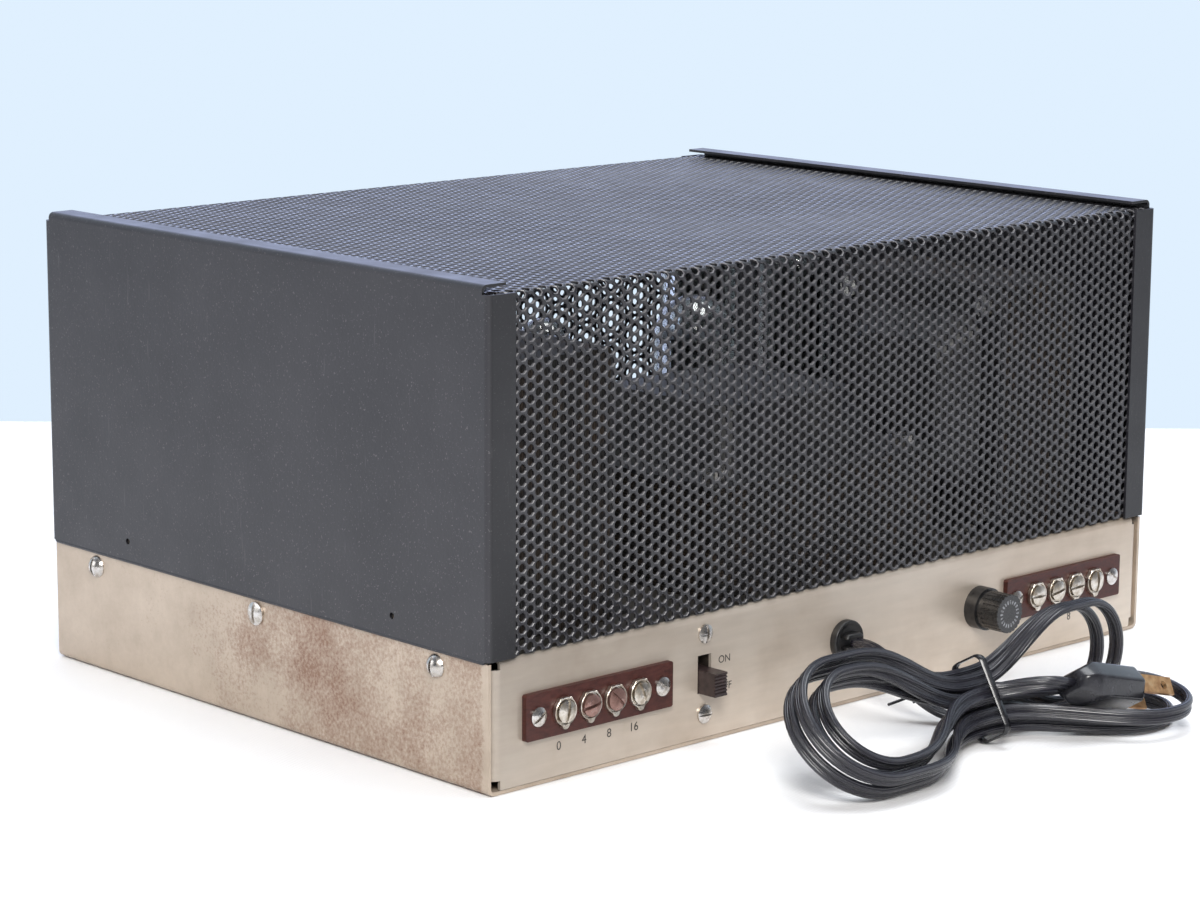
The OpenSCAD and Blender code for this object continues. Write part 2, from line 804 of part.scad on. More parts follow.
// Driver board with its two small tubes and their parts
driver_places = [[driver_x, board_y], [-driver_x, board_y]];
board_top = chassis_h + board_t;
board_rim_x = 12;
board_rim_y = 10;
film_d = 9;
film_l = 26;
film_y = board_d / 2 - board_rim_y;
resistor_d = 4;
resistor_l = 11;
resistor_pitch = 7;
resistor_x = noval_d / 2 + 9;

module driver_board() {
  color("#7a5230") difference() {
    translate([0, board_y, chassis_h]) linear_extrude(board_t) rounded_rect(board_w, board_d, 2);
    for (p = driver_places) translate([p[0], p[1], chassis_h - cut]) cylinder(d = 9, h = board_t + 2 * cut);
  }
}

module lying_part(d, l) {
  translate([0, 0, d / 2 + fit_gap / 2]) rotate([0, 90, 0]) cylinder(d = d, h = l, center = true);
}

module board_components() {
  color("#a8642c") translate([0, board_y, board_top]) for (s = sides, e = sides) {
    translate([s * driver_x, e * film_y, 0]) lying_part(film_d, film_l);
    for (i = [0 : 3]) translate([s * (driver_x + resistor_x), e * resistor_pitch * (i + 0.43), 0])
      lying_part(resistor_d, resistor_l);
    for (i = [0 : 2]) translate([s * (driver_x - resistor_x), e * resistor_pitch * (i + 0.43), 0])
      lying_part(resistor_d, resistor_l);
  }
}

module noval_sockets() {
  color("#cfc6b4") for (p = driver_places) translate([p[0], p[1], board_top]) rotate_extrude()
    translate([3, 0]) square([noval_d / 2 - 3, noval_h]);
}

module driver_tube_glass() {
  color("#dfe6e4", 0.35) for (p = driver_places) translate([p[0], p[1], board_top + noval_h])
    envelope(driver_glass_d, driver_tube_h);
}

module driver_tube_plates() {
  color("#5d5d60") for (p = driver_places) translate([p[0], p[1], board_top + noval_h])
    electrodes(driver_glass_d, driver_tube_h, 15, 9, 24, 8);
}

// Bias controls: bodies under the top, slotted shafts in their bushes
module bias_pots() {
  color("#8f8a80") for (s = sides) translate([s * bias_x, bias_y, 0]) difference() {
    union() {
      translate([0, 0, under_top - bias_body_h]) cylinder(d = bias_body_d, h = bias_body_h);
      translate([0, 0, under_top - cut]) cylinder(d = bias_bush_d, h = sheet_t + bias_bush_h + cut);
      translate([0, 0, chassis_h]) cylinder(d = 14, h = 2.4, $fn = 6);
    }
    translate([0, 0, under_top - bias_body_h + 2])
      cylinder(d = bias_shaft_d + 2 * running_gap, h = bias_body_h + sheet_t + bias_bush_h);
  }
}

module bias_shaft() {
  shaft_l = bias_body_h - 2 - fit_gap + sheet_t + bias_bush_h + 3;
  translate([0, bias_y, under_top - bias_body_h + 2 + fit_gap]) difference() {
    cylinder(d = bias_shaft_d, h = shaft_l);
    translate([-bias_shaft_d, -0.6, shaft_l - 1.5]) cube([2 * bias_shaft_d, 1.2, 2 * cut + 1.5]);
  }
}

module bias_shaft_right() {
  color("#c9c4b4") translate([bias_x, 0, 0]) bias_shaft();
}

module bias_shaft_left() {
  color("#c9c4b4") translate([-bias_x, 0, 0]) bias_shaft();
}

// Front panel: input jacks, mode switch and two accessory sockets
jack_nut_w = jack_d + 5;
jack_nut_t = 1.6;
jack_tail_l = 12;

module input_jacks() {
  color("silver") for (s = sides) on_front(s * jack_x, fitting_z) difference() {
    union() {
      cylinder(d = jack_nut_w, h = jack_nut_t, $fn = 6);
      translate([0, 0, -jack_tail_l]) cylinder(d = jack_d, h = jack_tail_l + jack_out);
    }
    cylinder(d = jack_bore_d, h = 2 * jack_out);
  }
}

module switch_body(slot_l, slot_w) {
  color("#3b3029") difference() {
    union() {
      translate([0, 0, -sheet_t - switch_frame_t / 2])
        cube([switch_screw_span + 8, switch_frame_w, switch_frame_t], center = true);
      translate([0, 0, -sheet_t - switch_frame_t - switch_body_l / 2])
        cube([switch_body_h, switch_body_w, switch_body_l], center = true);
    }
    translate([0, 0, -sheet_t]) cube([slot_l, slot_w, 2 * (switch_frame_t + knob_base_l)], center = true);
    for (e = sides) translate([e * switch_screw_span / 2, 0, -4 * sheet_t])
      cylinder(d = strip_hole_d, h = 4 * sheet_t);
  }
}

module mode_switch_body() {
  on_front(0, fitting_z) switch_body(mode_slot_l, mode_slot_w);
}

module mode_switch_knob() {
  reach = sheet_t + switch_frame_t + knob_base_l - slide_gap;
  color("#1c1a19") on_front(-mode_travel / 2, fitting_z)
    translate([-mode_knob_l / 2, -mode_knob_w / 2, -reach])
      cube([mode_knob_l, mode_knob_w, reach + mode_knob_out]);
}

module accessory_sockets() {
  color("#3a2d26") for (s = sides) on_front(s * accessory_x, fitting_z) octal_socket();
}

// Rear panel: terminal strips with cupped plates and screws
terminal_offsets = [for (i = [0 : 3]) (1.5 - i) * terminal_pitch];
plate_seat = strip_t;
terminal_seat = strip_t + terminal_plate_t;
ear_h = 1.8;

module terminal_strip(x) {
  color("#5a2a1e") on_rear(x, fitting_z) difference() {
    linear_extrude(strip_t) rounded_rect(strip_l, strip_h, 0.8);
    for (o = terminal_offsets) translate([o, 0, -cut])
      cylinder(d = terminal_shank_d + 2 * hole_gap, h = strip_t + 2 * cut);
    for (e = sides) translate([e * strip_screw_span / 2, 0, -cut])
      cylinder(d = strip_hole_d, h = strip_t + 2 * cut);
  }
}

module terminal_plate() {
  difference() {
    union() {
      translate([-terminal_plate_w / 2, -terminal_plate_w / 2, 0])
        cube([terminal_plate_w, terminal_plate_w, terminal_plate_t]);
      for (e = sides) translate([e * (terminal_plate_w / 2 - 0.4), 0, terminal_plate_t / 2 + ear_h / 2])
        cube([0.8, terminal_plate_w * 0.55, terminal_plate_t + ear_h], center = true);
    }
    translate([0, 0, -cut]) cylinder(d = terminal_shank_d + 2 * running_gap, h = terminal_plate_t + 2 * cut);
  }
}

module terminal_plates(x) {
  color("#d8d5cc") on_rear(x, fitting_z)
    for (o = terminal_offsets) translate([o, 0, plate_seat]) terminal_plate();
}

module terminal_screw(x, i, turn) {
  color("#cfcac0") on_rear(x + terminal_offsets[i], fitting_z) translate([0, 0, terminal_seat])
    rotate([0, 0, turn])
      screw(terminal_head_d, terminal_head_h, terminal_rim_h, terminal_shank_d, terminal_seat + 3, 1.1);
}

module terminal_strip_right() {
  terminal_strip(strip_x);
}

module terminal_strip_left() {
  terminal_strip(-strip_x);
}

module terminal_plates_right() {
  terminal_plates(strip_x);
}

module terminal_plates_left() {
  terminal_plates(-strip_x);
}

// Slot angle of each terminal screw as it was last tightened
right_turns = [80, 10, -45, -65];
left_turns = [0, 12, 5, 88];

// Small screws of the strips and of the two switches
module panel_screws() {
  color("silver") {
    for (s = sides, e = sides) on_rear(s * strip_x + e * strip_screw_span / 2, fitting_z)
      translate([0, 0, strip_t]) rotate([0, 0, 35 * e])
        screw(strip_head_d, 1.7, 0.7, strip_shank_d, strip_t + 4, 0.9);
    for (e = sides) on_rear(switch_x, fitting_z + e * switch_screw_span / 2) rotate([0, 0, 45 + 45 * e])
      screw(strip_head_d, 1.8, 0.7, strip_shank_d, 4, 0.9);
    for (e = sides) on_front(e * switch_screw_span / 2, fitting_z)
      screw(strip_head_d, 1.8, 0.7, strip_shank_d, 4, 0.9);
  }
}

module power_switch_body() {
  on_rear(switch_x, fitting_z) rotate([0, 0, 90]) switch_body(switch_slot_h, switch_slot_w);
}

// Ribbed knob of the power switch, resting at the lower end of its slot
module power_switch_knob() {
  ribs = 7;
  rib_pitch = knob_h / ribs;
  reach = sheet_t + switch_frame_t + knob_base_l - slide_gap;
  color("#1c1a19") on_rear(switch_x, fitting_z - knob_travel / 2) rotate([0, 0, 90]) difference() {
    translate([-knob_h / 2, -knob_w / 2, -reach]) cube([knob_h, knob_w, reach + knob_out]);
    for (i = [1 : ribs - 1]) translate([i * rib_pitch - knob_h / 2, 0, knob_out])
      rotate([0, 45, 0]) cube([0.7, knob_w + cut, 0.7], center = true);
  }
}

// Fuse holder with its nut, the cartridge and the cap that draws it out
module fuse_holder() {
  color("#17171a") {
    translate([-fuse_x, 0, fitting_z]) rotate([-90, 0, 0]) {
      rotate_extrude() {
        translate([fuse_bore_d / 2, fuse_depth_y])
          square([(fuse_thread_d - fuse_bore_d) / 2, half_d - fuse_depth_y]);
        translate([fuse_bore_d / 2, half_d]) square([(fuse_collar_d - fuse_bore_d) / 2, fuse_collar_l]);
        translate([0, fuse_depth_y - fuse_wall]) square([fuse_thread_d / 2, fuse_wall]);
      }
      translate([0, 0, inner_d - 3]) difference() {
        cylinder(d = fuse_collar_d + 1.5, h = 3, $fn = 6);
        translate([0, 0, -cut]) cylinder(d = fuse_thread_d + fit_gap, h = 3 + 2 * cut);
      }
    }
  }
}

module fuse() {
  color("#c8c4b6") translate([-fuse_x, fuse_end_y - fuse_l, fitting_z]) rotate([-90, 0, 0]) {
    cylinder(d = fuse_d - 0.5, h = fuse_l);
    cylinder(d = fuse_d, h = 6.5);
    translate([0, 0, fuse_l - 6.5]) cylinder(d = fuse_d, h = 6.5);
  }
}

module fuse_cap() {
  flutes = 24;
  color("#17171a") translate([-fuse_x, fuse_cap_y, fitting_z]) rotate([-90, 0, 0]) difference() {
    union() {
      cylinder(d = fuse_cap_d, h = fuse_cap_l);
      translate([0, 0, -fuse_plug_l]) cylinder(d = fuse_plug_d, h = fuse_plug_l + cut);
    }
    for (i = [0 : flutes - 1]) rotate([0, 0, i * 360 / flutes]) translate([fuse_cap_d / 2, 0, 2])
      cylinder(d = 0.7, h = fuse_cap_l);
    translate([0, 0, -fuse_plug_l - cut]) cylinder(d = fuse_d + 2 * slide_gap, h = fuse_seat_l + cut);
  }
}

// Snap-in cord gland with a short nose round the cord
gland_nose_l = 2.5;
gland_face_y = half_d + gland_t + gland_nose_l;

module cord_gland() {
  color("#1b1b1d") on_rear(0, fitting_z) {
    translate([0, 0, -6]) cylinder(d = gland_d - 2 - hole_gap, h = 6);
    cylinder(d = gland_d, h = gland_t);
    linear_extrude(gland_t + gland_nose_l) rounded_rect(cord_w + 2.6, cord_t + 2.6, 2);
  }
}

// Mains cord: flat twin cord from the gland to a hank of folded loops held by a tie.
// A fold is [side, reach, radius, lean, centre y, centre z, flare]: side +1 turns at the
// +X end, reach is from the tie to the fold's centre, and lean tilts the fold's plane.
tie_pos = [0, 181, 15];
tie_lean = 60;
row_pitch = 6.3;
column_pitch = 3.8;
folds = [
  [-1, 56, 17.0, 90, 171.5, 18.8, 1],
  [1, 71, 23.0, 42, 188.0, 18.4, 1.15],
  [-1, 57, 17.5, 0, 194.0, 3.2, 1],
  [1, 67, 18.0, 42, 188.0, 18.4, 1],
  [-1, 52, 17.5, 90, 182.6, 22.4, 1.2],
  [1, 71, 23.0, 42, 192.6, 23.6, 1.15],
  [-1, 55.5, 17.5, 8, 203.0, 10.4, 1],
  [1, 67, 18.0, 42, 192.6, 23.6, 1]
];
// Place of each strand in the tied waist, as rows and columns
waist_places = [[1.5, -1], [-1.5, -1], [0.5, -1], [-0.5, -1], [1, 0], [-1, 0], [0, 0], [0.1, 1]];
hank_start_x = -34;
plug_turn = 4;
plug_pitch = 14;
plug_lean = 146;
strand_end = [-18, 199.3, 21.1];
run_rings = 3;
fold_rings = 6;

function unit(v) = v / norm(v);
function smooth(t) = t * t * t * (t * (6 * t - 15) + 10);
function across(a) = [0, -cos(a), sin(a)];
function facing(a) = [0, sin(a), cos(a)];
function waist_point(i) = tie_pos
  + row_pitch * waist_places[i][0] * across(tie_lean)
  + column_pitch * waist_places[i][1] * facing(tie_lean);
function fold_centre(f) = [tie_pos[0] + f[0] * f[1], f[4], f[5]];
function upper_first(f) = f[0];
// Flat side of the cord in a fold, on the same hand as in the waist
function fold_flat(f) = facing(f[3]) * (facing(f[3]) * across(tie_lean) < 0 ? -1 : 1);
// Point and width direction of the run between the waist and a fold, at share t of its length
function run_ring(f, q, up, t) =
  let (s = smooth(min(1, t * f[6])), e = fold_centre(f) + up * f[2] * across(f[3]))
  [
    [tie_pos[0] + f[0] * f[1] * t, q[1] + (e[1] - q[1]) * s, q[2] + (e[2] - q[2]) * s],
    across(tie_lean) * (1 - s) + fold_flat(f) * s
  ];
function fold_ring(f, up, a) = [
  fold_centre(f) + [f[0] * f[2] * sin(a), 0, 0] + up * f[2] * cos(a) * across(f[3]),
  fold_flat(f)
];
function half_loop(i) =
  let (f = folds[i], up = upper_first(f), out = waist_point(max(0, i - 1)), back = waist_point(i))
  concat(
    i == 0
      ? [for (k = [0 : run_rings - 1]) let (a = fold_ring(f, up, 0))
          [[hank_start_x + (a[0][0] - hank_start_x) * k / run_rings, a[0][1], a[0][2]], a[1]]]
      : [for (k = [0 : run_rings - 1]) run_ring(f, out, up, k / run_rings)],
    [for (k = [0 : fold_rings - 1]) fold_ring(f, up, 180 * k / fold_rings)],
    [for (k = [0 : run_rings - 1]) run_ring(f, back, -up, 1 - k / run_rings)]
  );
// Last strand: a gentle curve to the plug, then one cord width straight into it
plug_dir = [-cos(plug_turn) * cos(plug_pitch), sin(plug_turn) * cos(plug_pitch), -sin(plug_pitch)];
function plug_ring(t) =
  let (q = waist_point(7), l = tie_pos[0] - strand_end[0], m = -l * plug_dir / plug_dir[0],
       h = 3 * t * t - 2 * t * t * t, g = t * t * t - t * t)
  [
    [tie_pos[0] - l * t, q[1] + (strand_end[1] - q[1]) * h + m[1] * g,
     q[2] + (strand_end[2] - q[2]) * h + m[2] * g],
    across(tie_lean) * (1 - t) + across(plug_lean) * t
  ];
plug_seat = strand_end + cord_w * plug_dir;
hank_rings = concat(
  [for (i = [0 : len(folds) - 1]) each half_loop(i)],
  [for (k = [0 : 4]) plug_ring(k / 4)],
  [[plug_seat, across(plug_lean)]]
);

// Free stretch from the gland down to the table and into the hank
table_z = folds[0][5] - folds[0][2];
hank_start = [hank_start_x, folds[0][4], table_z];
lead_points = [
  [0, gland_face_y, fitting_z], [0, gland_face_y + cord_w, fitting_z], [0, 136, 21.6], [-1, 143, 16],
  [-3, 149.5, 9], [-7, 156, 4], [-12, 162, 2], [-18, 167, table_z], [-26, 170.8, table_z],
  hank_start + [cord_w, 0, 0], hank_start
];

// Flat cord swept along rings of centre and width direction
function square_to(w, t) = unit(w - w * t * t);
function tangent(p, i) = unit(p[min(len(p) - 1, i + 1)] - p[max(0, i - 1)]);
function section(n) = n == 6
  ? [[1, 0], [0.5, 1], [-0.5, 1], [-1, 0], [-0.5, -1], [0.5, -1]]
  : [[1, 0.4], [0.6, 1], [-0.6, 1], [-1, 0.4], [-1, -0.4], [-0.6, -1], [0.6, -1], [1, -0.4]];
module cord_tube(points, widths, n) {
  shape = section(n);
  rings = [for (i = [0 : len(points) - 1])
    let (t = tangent(points, i), w = square_to(widths[i], t), v = cross(t, w))
    [for (s = shape) points[i] + s[0] * cord_w / 2 * w + s[1] * cord_t / 2 * v]];
  last = (len(points) - 1) * n;
  polyhedron(
    points = [for (r = rings) each r],
    faces = concat(
      [for (i = [0 : len(points) - 2], k = [0 : n - 1]) let (a = i * n + k, b = i * n + (k + 1) % n)
        each [[a, a + n, b + n], [a, b + n, b]]],
      [for (k = [1 : n - 2]) [0, k, k + 1]],
      [for (k = [1 : n - 2]) [last, last + k + 1, last + k]]
    )
  );
}

module cord_lead() {
  color("#1f1f22") cord_tube(
    lead_points,
    [for (i = [0 : len(lead_points) - 1]) cross(tangent(lead_points, i), [0, 0, 1])],
    8
  );
}

// Least gap between strands, measured on points along both conductors
function hank_lines() = let (p = [for (r = hank_rings) r[0]], o = (cord_w - cord_t) / 2)
  [for (i = [0 : len(p) - 2], k = [0 : 2])
    let (w = [for (j = [i, i + 1]) square_to(hank_rings[j][1], tangent(p, j))],
         c = p[i] + (p[i + 1] - p[i]) * k / 3, m = w[0] + (w[1] - w[0]) * k / 3)
    [c + o * m, c - o * m]];
function least_gap(lines, apart) = min([
  for (i = [0 : len(lines) - 1 - apart], j = [i + apart : len(lines) - 1],
  a = lines[i], b = lines[j]) norm(a - b)]) - cord_t;

module cord_hank() {
  echo(hank_least_gap = least_gap(hank_lines(), 3 * run_rings));
  color("#1f1f22") cord_tube([for (r = hank_rings) r[0]], [for (r = hank_rings) r[1]], 6);
}

// Twist tie round the waist of the hank, with its two twisted ends
tie_l = 3;
tie_t = 1.1;
tie_r = 2.4;
tie_end_l = 30;
tie_gap = 1.1;
tie_h = 3 * row_pitch + cord_w + 2 * tie_gap;
tie_w = 2 * column_pitch + cord_t + 2 * tie_gap;
module cord_tie() {
  color("#101012") translate(tie_pos) rotate([180 - tie_lean, 0, 0]) {
    along_x(tie_l) difference() {
      rounded_rect(tie_h + 2 * tie_t, tie_w + 2 * tie_t, tie_r + tie_t);
      rounded_rect(tie_h, tie_w, tie_r);
    }
    for (e = sides) translate([0, tie_h / 2 - 4 + e, tie_w / 2 + tie_t / 2]) rotate([0, 83, 3 * e - 6])
      cylinder(d = tie_t, h = tie_end_l);
  }
}

// Plug: moulded body with a tapered tail, and two flat blades
plug_tail_l = 4;
plug_bevel = 3;
module at_plug() {
  translate(plug_seat) rotate([0, 0, 180 - plug_turn]) rotate([0, plug_pitch, 0])
    rotate([plug_lean - 90, 0, 0]) children();
}

module plug_slice(x, y, z, bevel) {
  translate([x, 0, 0]) along_x(1) polygon([
    [y / 2, z / 2 - bevel], [0, z / 2], [-y / 2, z / 2 - bevel],
    [-y / 2, bevel - z / 2], [0, -z / 2], [y / 2, bevel - z / 2]
  ]);
}

module plug_body() {
  color("#222226") at_plug() {
    hull() {
      plug_slice(0.5, cord_t + 2, cord_w + 2, 1);
      plug_slice(plug_tail_l - 0.5, plug_h - 4, plug_w - 5, plug_bevel);
    }
    hull() {
      plug_slice(plug_tail_l - 0.5, plug_h - 3, plug_w - 4, plug_bevel);
      plug_slice(plug_tail_l + 3, plug_h, plug_w, plug_bevel);
      plug_slice(plug_tail_l + plug_l - 0.5, plug_h, plug_w, plug_bevel);
    }
  }
}

module plug_blades() {
  blade_w = 6.3;
  blade_t = 1.5;
  color("#b5803c") at_plug() for (s = sides)
    translate([plug_tail_l + plug_l, 0, s * blade_pitch / 2]) difference() {
      translate([0, -blade_w / 2, -blade_t / 2]) cube([blade_l, blade_w, blade_t]);
      translate([blade_l - 4.5, 0, -blade_t]) cylinder(d = 3, h = 2 * blade_t);
    }
}

chassis();
bottom_cover();
cover_screws();
cage_end_right();
cage_end_left();
mesh_top();
mesh_rear();
mesh_front();
power_transformer_core();
power_transformer_bell();
power_transformer_bolts();
output_core_right();
output_core_left();
output_bells_right();
output_bells_left();
output_bolts();
filter_choke();
filter_capacitor();
octal_sockets();
octal_bases();
power_tube_glass();
power_tube_plates();
rectifier_glass();
rectifier_plates();
driver_board();
board_components();
noval_sockets();
driver_tube_glass();
driver_tube_plates();
bias_pots();
bias_shaft_right();
bias_shaft_left();
input_jacks();
mode_switch_body();
mode_switch_knob();
accessory_sockets();
terminal_strip_right();
terminal_strip_left();
terminal_plates_right();
terminal_plates_left();
terminal_screw(strip_x, 0, right_turns[0]);  // terminal_screw_1
terminal_screw(strip_x, 1, right_turns[1]);  // terminal_screw_2
terminal_screw(strip_x, 2, right_turns[2]);  // terminal_screw_3
terminal_screw(strip_x, 3, right_turns[3]);  // terminal_screw_4
terminal_screw(-strip_x, 0, left_turns[0]);  // terminal_screw_5
terminal_screw(-strip_x, 1, left_turns[1]);  // terminal_screw_6
terminal_screw(-strip_x, 2, left_turns[2]);  // terminal_screw_7
terminal_screw(-strip_x, 3, left_turns[3]);  // terminal_screw_8
panel_screws();
power_switch_body();
power_switch_knob();
fuse_holder();
fuse();
fuse_cap();
cord_gland();
cord_lead();
cord_hank();
cord_tie();
plug_body();
plug_blades();
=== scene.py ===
import json
from math import atan2, cos, pi, radians, sin

import bmesh
import bpy
import numpy as np
from mathutils import Matrix, Vector

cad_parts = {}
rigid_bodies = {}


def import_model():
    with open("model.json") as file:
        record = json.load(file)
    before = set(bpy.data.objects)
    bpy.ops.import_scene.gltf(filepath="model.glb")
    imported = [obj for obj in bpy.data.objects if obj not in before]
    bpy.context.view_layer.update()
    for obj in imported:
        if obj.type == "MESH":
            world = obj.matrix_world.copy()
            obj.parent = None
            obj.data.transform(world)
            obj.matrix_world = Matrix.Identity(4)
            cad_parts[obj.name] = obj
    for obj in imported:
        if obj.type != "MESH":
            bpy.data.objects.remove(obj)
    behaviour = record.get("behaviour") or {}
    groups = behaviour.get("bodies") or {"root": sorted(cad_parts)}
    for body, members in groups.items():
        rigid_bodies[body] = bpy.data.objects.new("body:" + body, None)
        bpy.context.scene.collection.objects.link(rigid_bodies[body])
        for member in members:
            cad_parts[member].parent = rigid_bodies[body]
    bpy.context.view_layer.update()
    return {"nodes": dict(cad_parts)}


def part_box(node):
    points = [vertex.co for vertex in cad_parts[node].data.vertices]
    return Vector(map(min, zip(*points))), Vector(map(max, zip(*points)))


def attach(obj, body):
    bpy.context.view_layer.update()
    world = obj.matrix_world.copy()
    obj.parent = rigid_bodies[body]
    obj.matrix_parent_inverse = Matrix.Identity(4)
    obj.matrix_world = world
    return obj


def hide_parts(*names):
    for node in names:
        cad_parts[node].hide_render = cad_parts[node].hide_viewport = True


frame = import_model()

cad = frame["nodes"]
MM = 0.001


# Camera, behind the amplifier's rear right corner and a little above the cage, with a long
# lens. Its place and lens were solved from the photograph.
CAMERA_PLACE = (0.847483, 0.893791, 0.317374)
AZIMUTH, ELEVATION, ROLL = radians(136.692), radians(11.237), radians(0.353)
backward = Vector((sin(AZIMUTH) * cos(ELEVATION), -cos(AZIMUTH) * cos(ELEVATION), sin(ELEVATION)))
level = Vector((0, 0, 1)).cross(backward).normalized()
upright = backward.cross(level)
right = level * cos(ROLL) + upright * sin(ROLL)
up = upright * cos(ROLL) - level * sin(ROLL)
lens = bpy.data.cameras.new("camera")
lens.sensor_fit = "HORIZONTAL"
lens.sensor_width = 36
lens.lens = 102.254
lens.clip_start, lens.clip_end = 0.05, 30
camera = bpy.data.objects.new("camera", lens)
camera.matrix_world = Matrix((
    (right.x, up.x, backward.x, CAMERA_PLACE[0]),
    (right.y, up.y, backward.y, CAMERA_PLACE[1]),
    (right.z, up.z, backward.z, CAMERA_PLACE[2]),
    (0, 0, 0, 1),
))
bpy.context.scene.collection.objects.link(camera)
bpy.context.scene.camera = camera
bpy.context.scene.view_settings.view_transform = "Standard"


# Table and room: a white cloth that ends not far behind the amplifier, pale bluish air beyond
# it, and soft lamps on the camera's side, overhead and beyond.
def add(tree, kind, settings=None, **sockets):
    node = tree.nodes.new(kind)
    for key, value in (settings or {}).items():
        setattr(node, key, value)
    for key, value in sockets.items():
        socket = node.inputs[int(key[1:])] if key[0] == "_" else node.inputs[key.replace("_", " ")]
        if isinstance(value, bpy.types.NodeSocket):
            tree.links.new(value, socket)
        else:
            socket.default_value = value
    return node


def shader(name, colour, rough, metal=0.0, **more):
    made = bpy.data.materials.new(name)
    made.use_nodes = True
    surface = made.node_tree.nodes["Principled BSDF"]
    more = {"Base_Color": (*colour, 1), "Roughness": rough, "Metallic": metal, **more}
    for key, value in more.items():
        surface.inputs[key.replace("_", " ")].default_value = value
    return made, made.node_tree, surface


def place_of(tree, scale=(1, 1, 1)):
    spot = add(tree, "ShaderNodeTexCoord").outputs["Object"]
    return add(tree, "ShaderNodeMapping", Vector=spot, Scale=scale).outputs["Vector"]


def noise(tree, spot, scale, detail=3.0, rough=0.55):
    return add(tree, "ShaderNodeTexNoise", Vector=spot, Scale=scale, Detail=detail,
               Roughness=rough).outputs["Fac"]


def ramp(tree, value, *stops):
    node = add(tree, "ShaderNodeValToRGB", Fac=value)
    while len(node.color_ramp.elements) < len(stops):
        node.color_ramp.elements.new(0.5)
    for element, (where, colour) in zip(node.color_ramp.elements, stops):
        element.position = where
        element.color = (*colour, 1) if hasattr(colour, "__len__") else (colour, colour, colour, 1)
    return node.outputs["Color"]


def blend(tree, share, first, second, mode="MIX"):
    node = add(tree, "ShaderNodeMix", {"data_type": "RGBA", "blend_type": mode}, _0=share)
    for socket, value in ((node.inputs[6], first), (node.inputs[7], second)):
        if isinstance(value, bpy.types.NodeSocket):
            tree.links.new(value, socket)
        else:
            socket.default_value = (*value, 1)
    return node.outputs[2]


def emboss(tree, surface, height, strength, distance):
    bump = add(tree, "ShaderNodeBump", Height=height, Strength=strength, Distance=distance)
    tree.links.new(bump.outputs["Normal"], surface.inputs["Normal"])


def paint(tree, surface, colour=None, rough=None):
    if colour is not None:
        tree.links.new(colour, surface.inputs["Base Color"])
    if rough is not None:
        tree.links.new(rough, surface.inputs["Roughness"])


def maths(tree, operation, *values):
    sockets = {f"_{n}": value for n, value in enumerate(values)}
    return add(tree, "ShaderNodeMath", {"operation": operation}, **sockets).outputs[0]


TABLE_BEHIND, TABLE_AHEAD, TABLE_HALF = 0.43, 1.6, 2.5
away = Vector((-sin(AZIMUTH), cos(AZIMUTH), 0))
aside = Vector((away.y, -away.x, 0))
corners = [away * d + aside * s for d, s in (
    (TABLE_BEHIND, -TABLE_HALF), (TABLE_BEHIND, TABLE_HALF),
    (-TABLE_AHEAD, TABLE_HALF), (-TABLE_AHEAD, -TABLE_HALF))]
cloth_mesh = bpy.data.meshes.new("table_cloth")
cloth_mesh.from_pydata([(c.x, c.y, -0.0002) for c in corners], [], [(3, 2, 1, 0)])
table_cloth = bpy.data.objects.new("table_cloth", cloth_mesh)
bpy.context.scene.collection.objects.link(table_cloth)
white_cloth, tree, surface = shader("white_cloth", (0.87, 0.87, 0.88), 0.9)
spot = place_of(tree)
threads = [add(tree, "ShaderNodeTexWave", {"bands_direction": axis}, Vector=spot, Scale=260,
               Distortion=1.2).outputs["Color"] for axis in "XY"]
weave = blend(tree, 0.5, *threads)
emboss(tree, surface, weave, 0.25, 0.0006)
paint(tree, surface, ramp(tree, noise(tree, spot, 7), (0.3, (0.83, 0.83, 0.845)), (0.7, (0.89, 0.89, 0.895))))
cloth_mesh.materials.append(white_cloth)

room = bpy.data.worlds.new("room")
room.use_nodes = True
tree = room.node_tree
AIR, BEYOND = (0.745, 0.871, 1.0), (-0.62, -0.77, 0.15)
direction = add(tree, "ShaderNodeTexCoord").outputs["Generated"]
towards = add(tree, "ShaderNodeVectorMath", {"operation": "DOT_PRODUCT"}, _0=direction, _1=BEYOND)
bearing = add(tree, "ShaderNodeMapRange", Value=towards.outputs["Value"], From_Min=-1).outputs["Result"]
surroundings = ramp(tree, bearing, (0.25, (0.11, 0.115, 0.13)), (0.5, (0.24, 0.25, 0.28)),
                    (0.62, (0.42, 0.44, 0.49)), (0.86, AIR))
seen = add(tree, "ShaderNodeLightPath").outputs
mirrored = maths(tree, "MULTIPLY", seen["Is Glossy Ray"], ramp(tree, bearing, (0.6, 0.0), (0.8, 1.0)))
direct = maths(tree, "MAXIMUM", seen["Is Camera Ray"], seen["Is Transmission Ray"])
lit = add(tree, "ShaderNodeBackground", Color=surroundings, Strength=1.0)
air = add(tree, "ShaderNodeBackground", Color=(*AIR, 1), Strength=1.0)
mixed = add(tree, "ShaderNodeMixShader", _0=maths(tree, "MAXIMUM", direct, mirrored), _1=lit.outputs[0],
            _2=air.outputs[0])
tree.links.new(mixed.outputs[0], tree.nodes["World Output"].inputs["Surface"])
bpy.context.scene.world = room

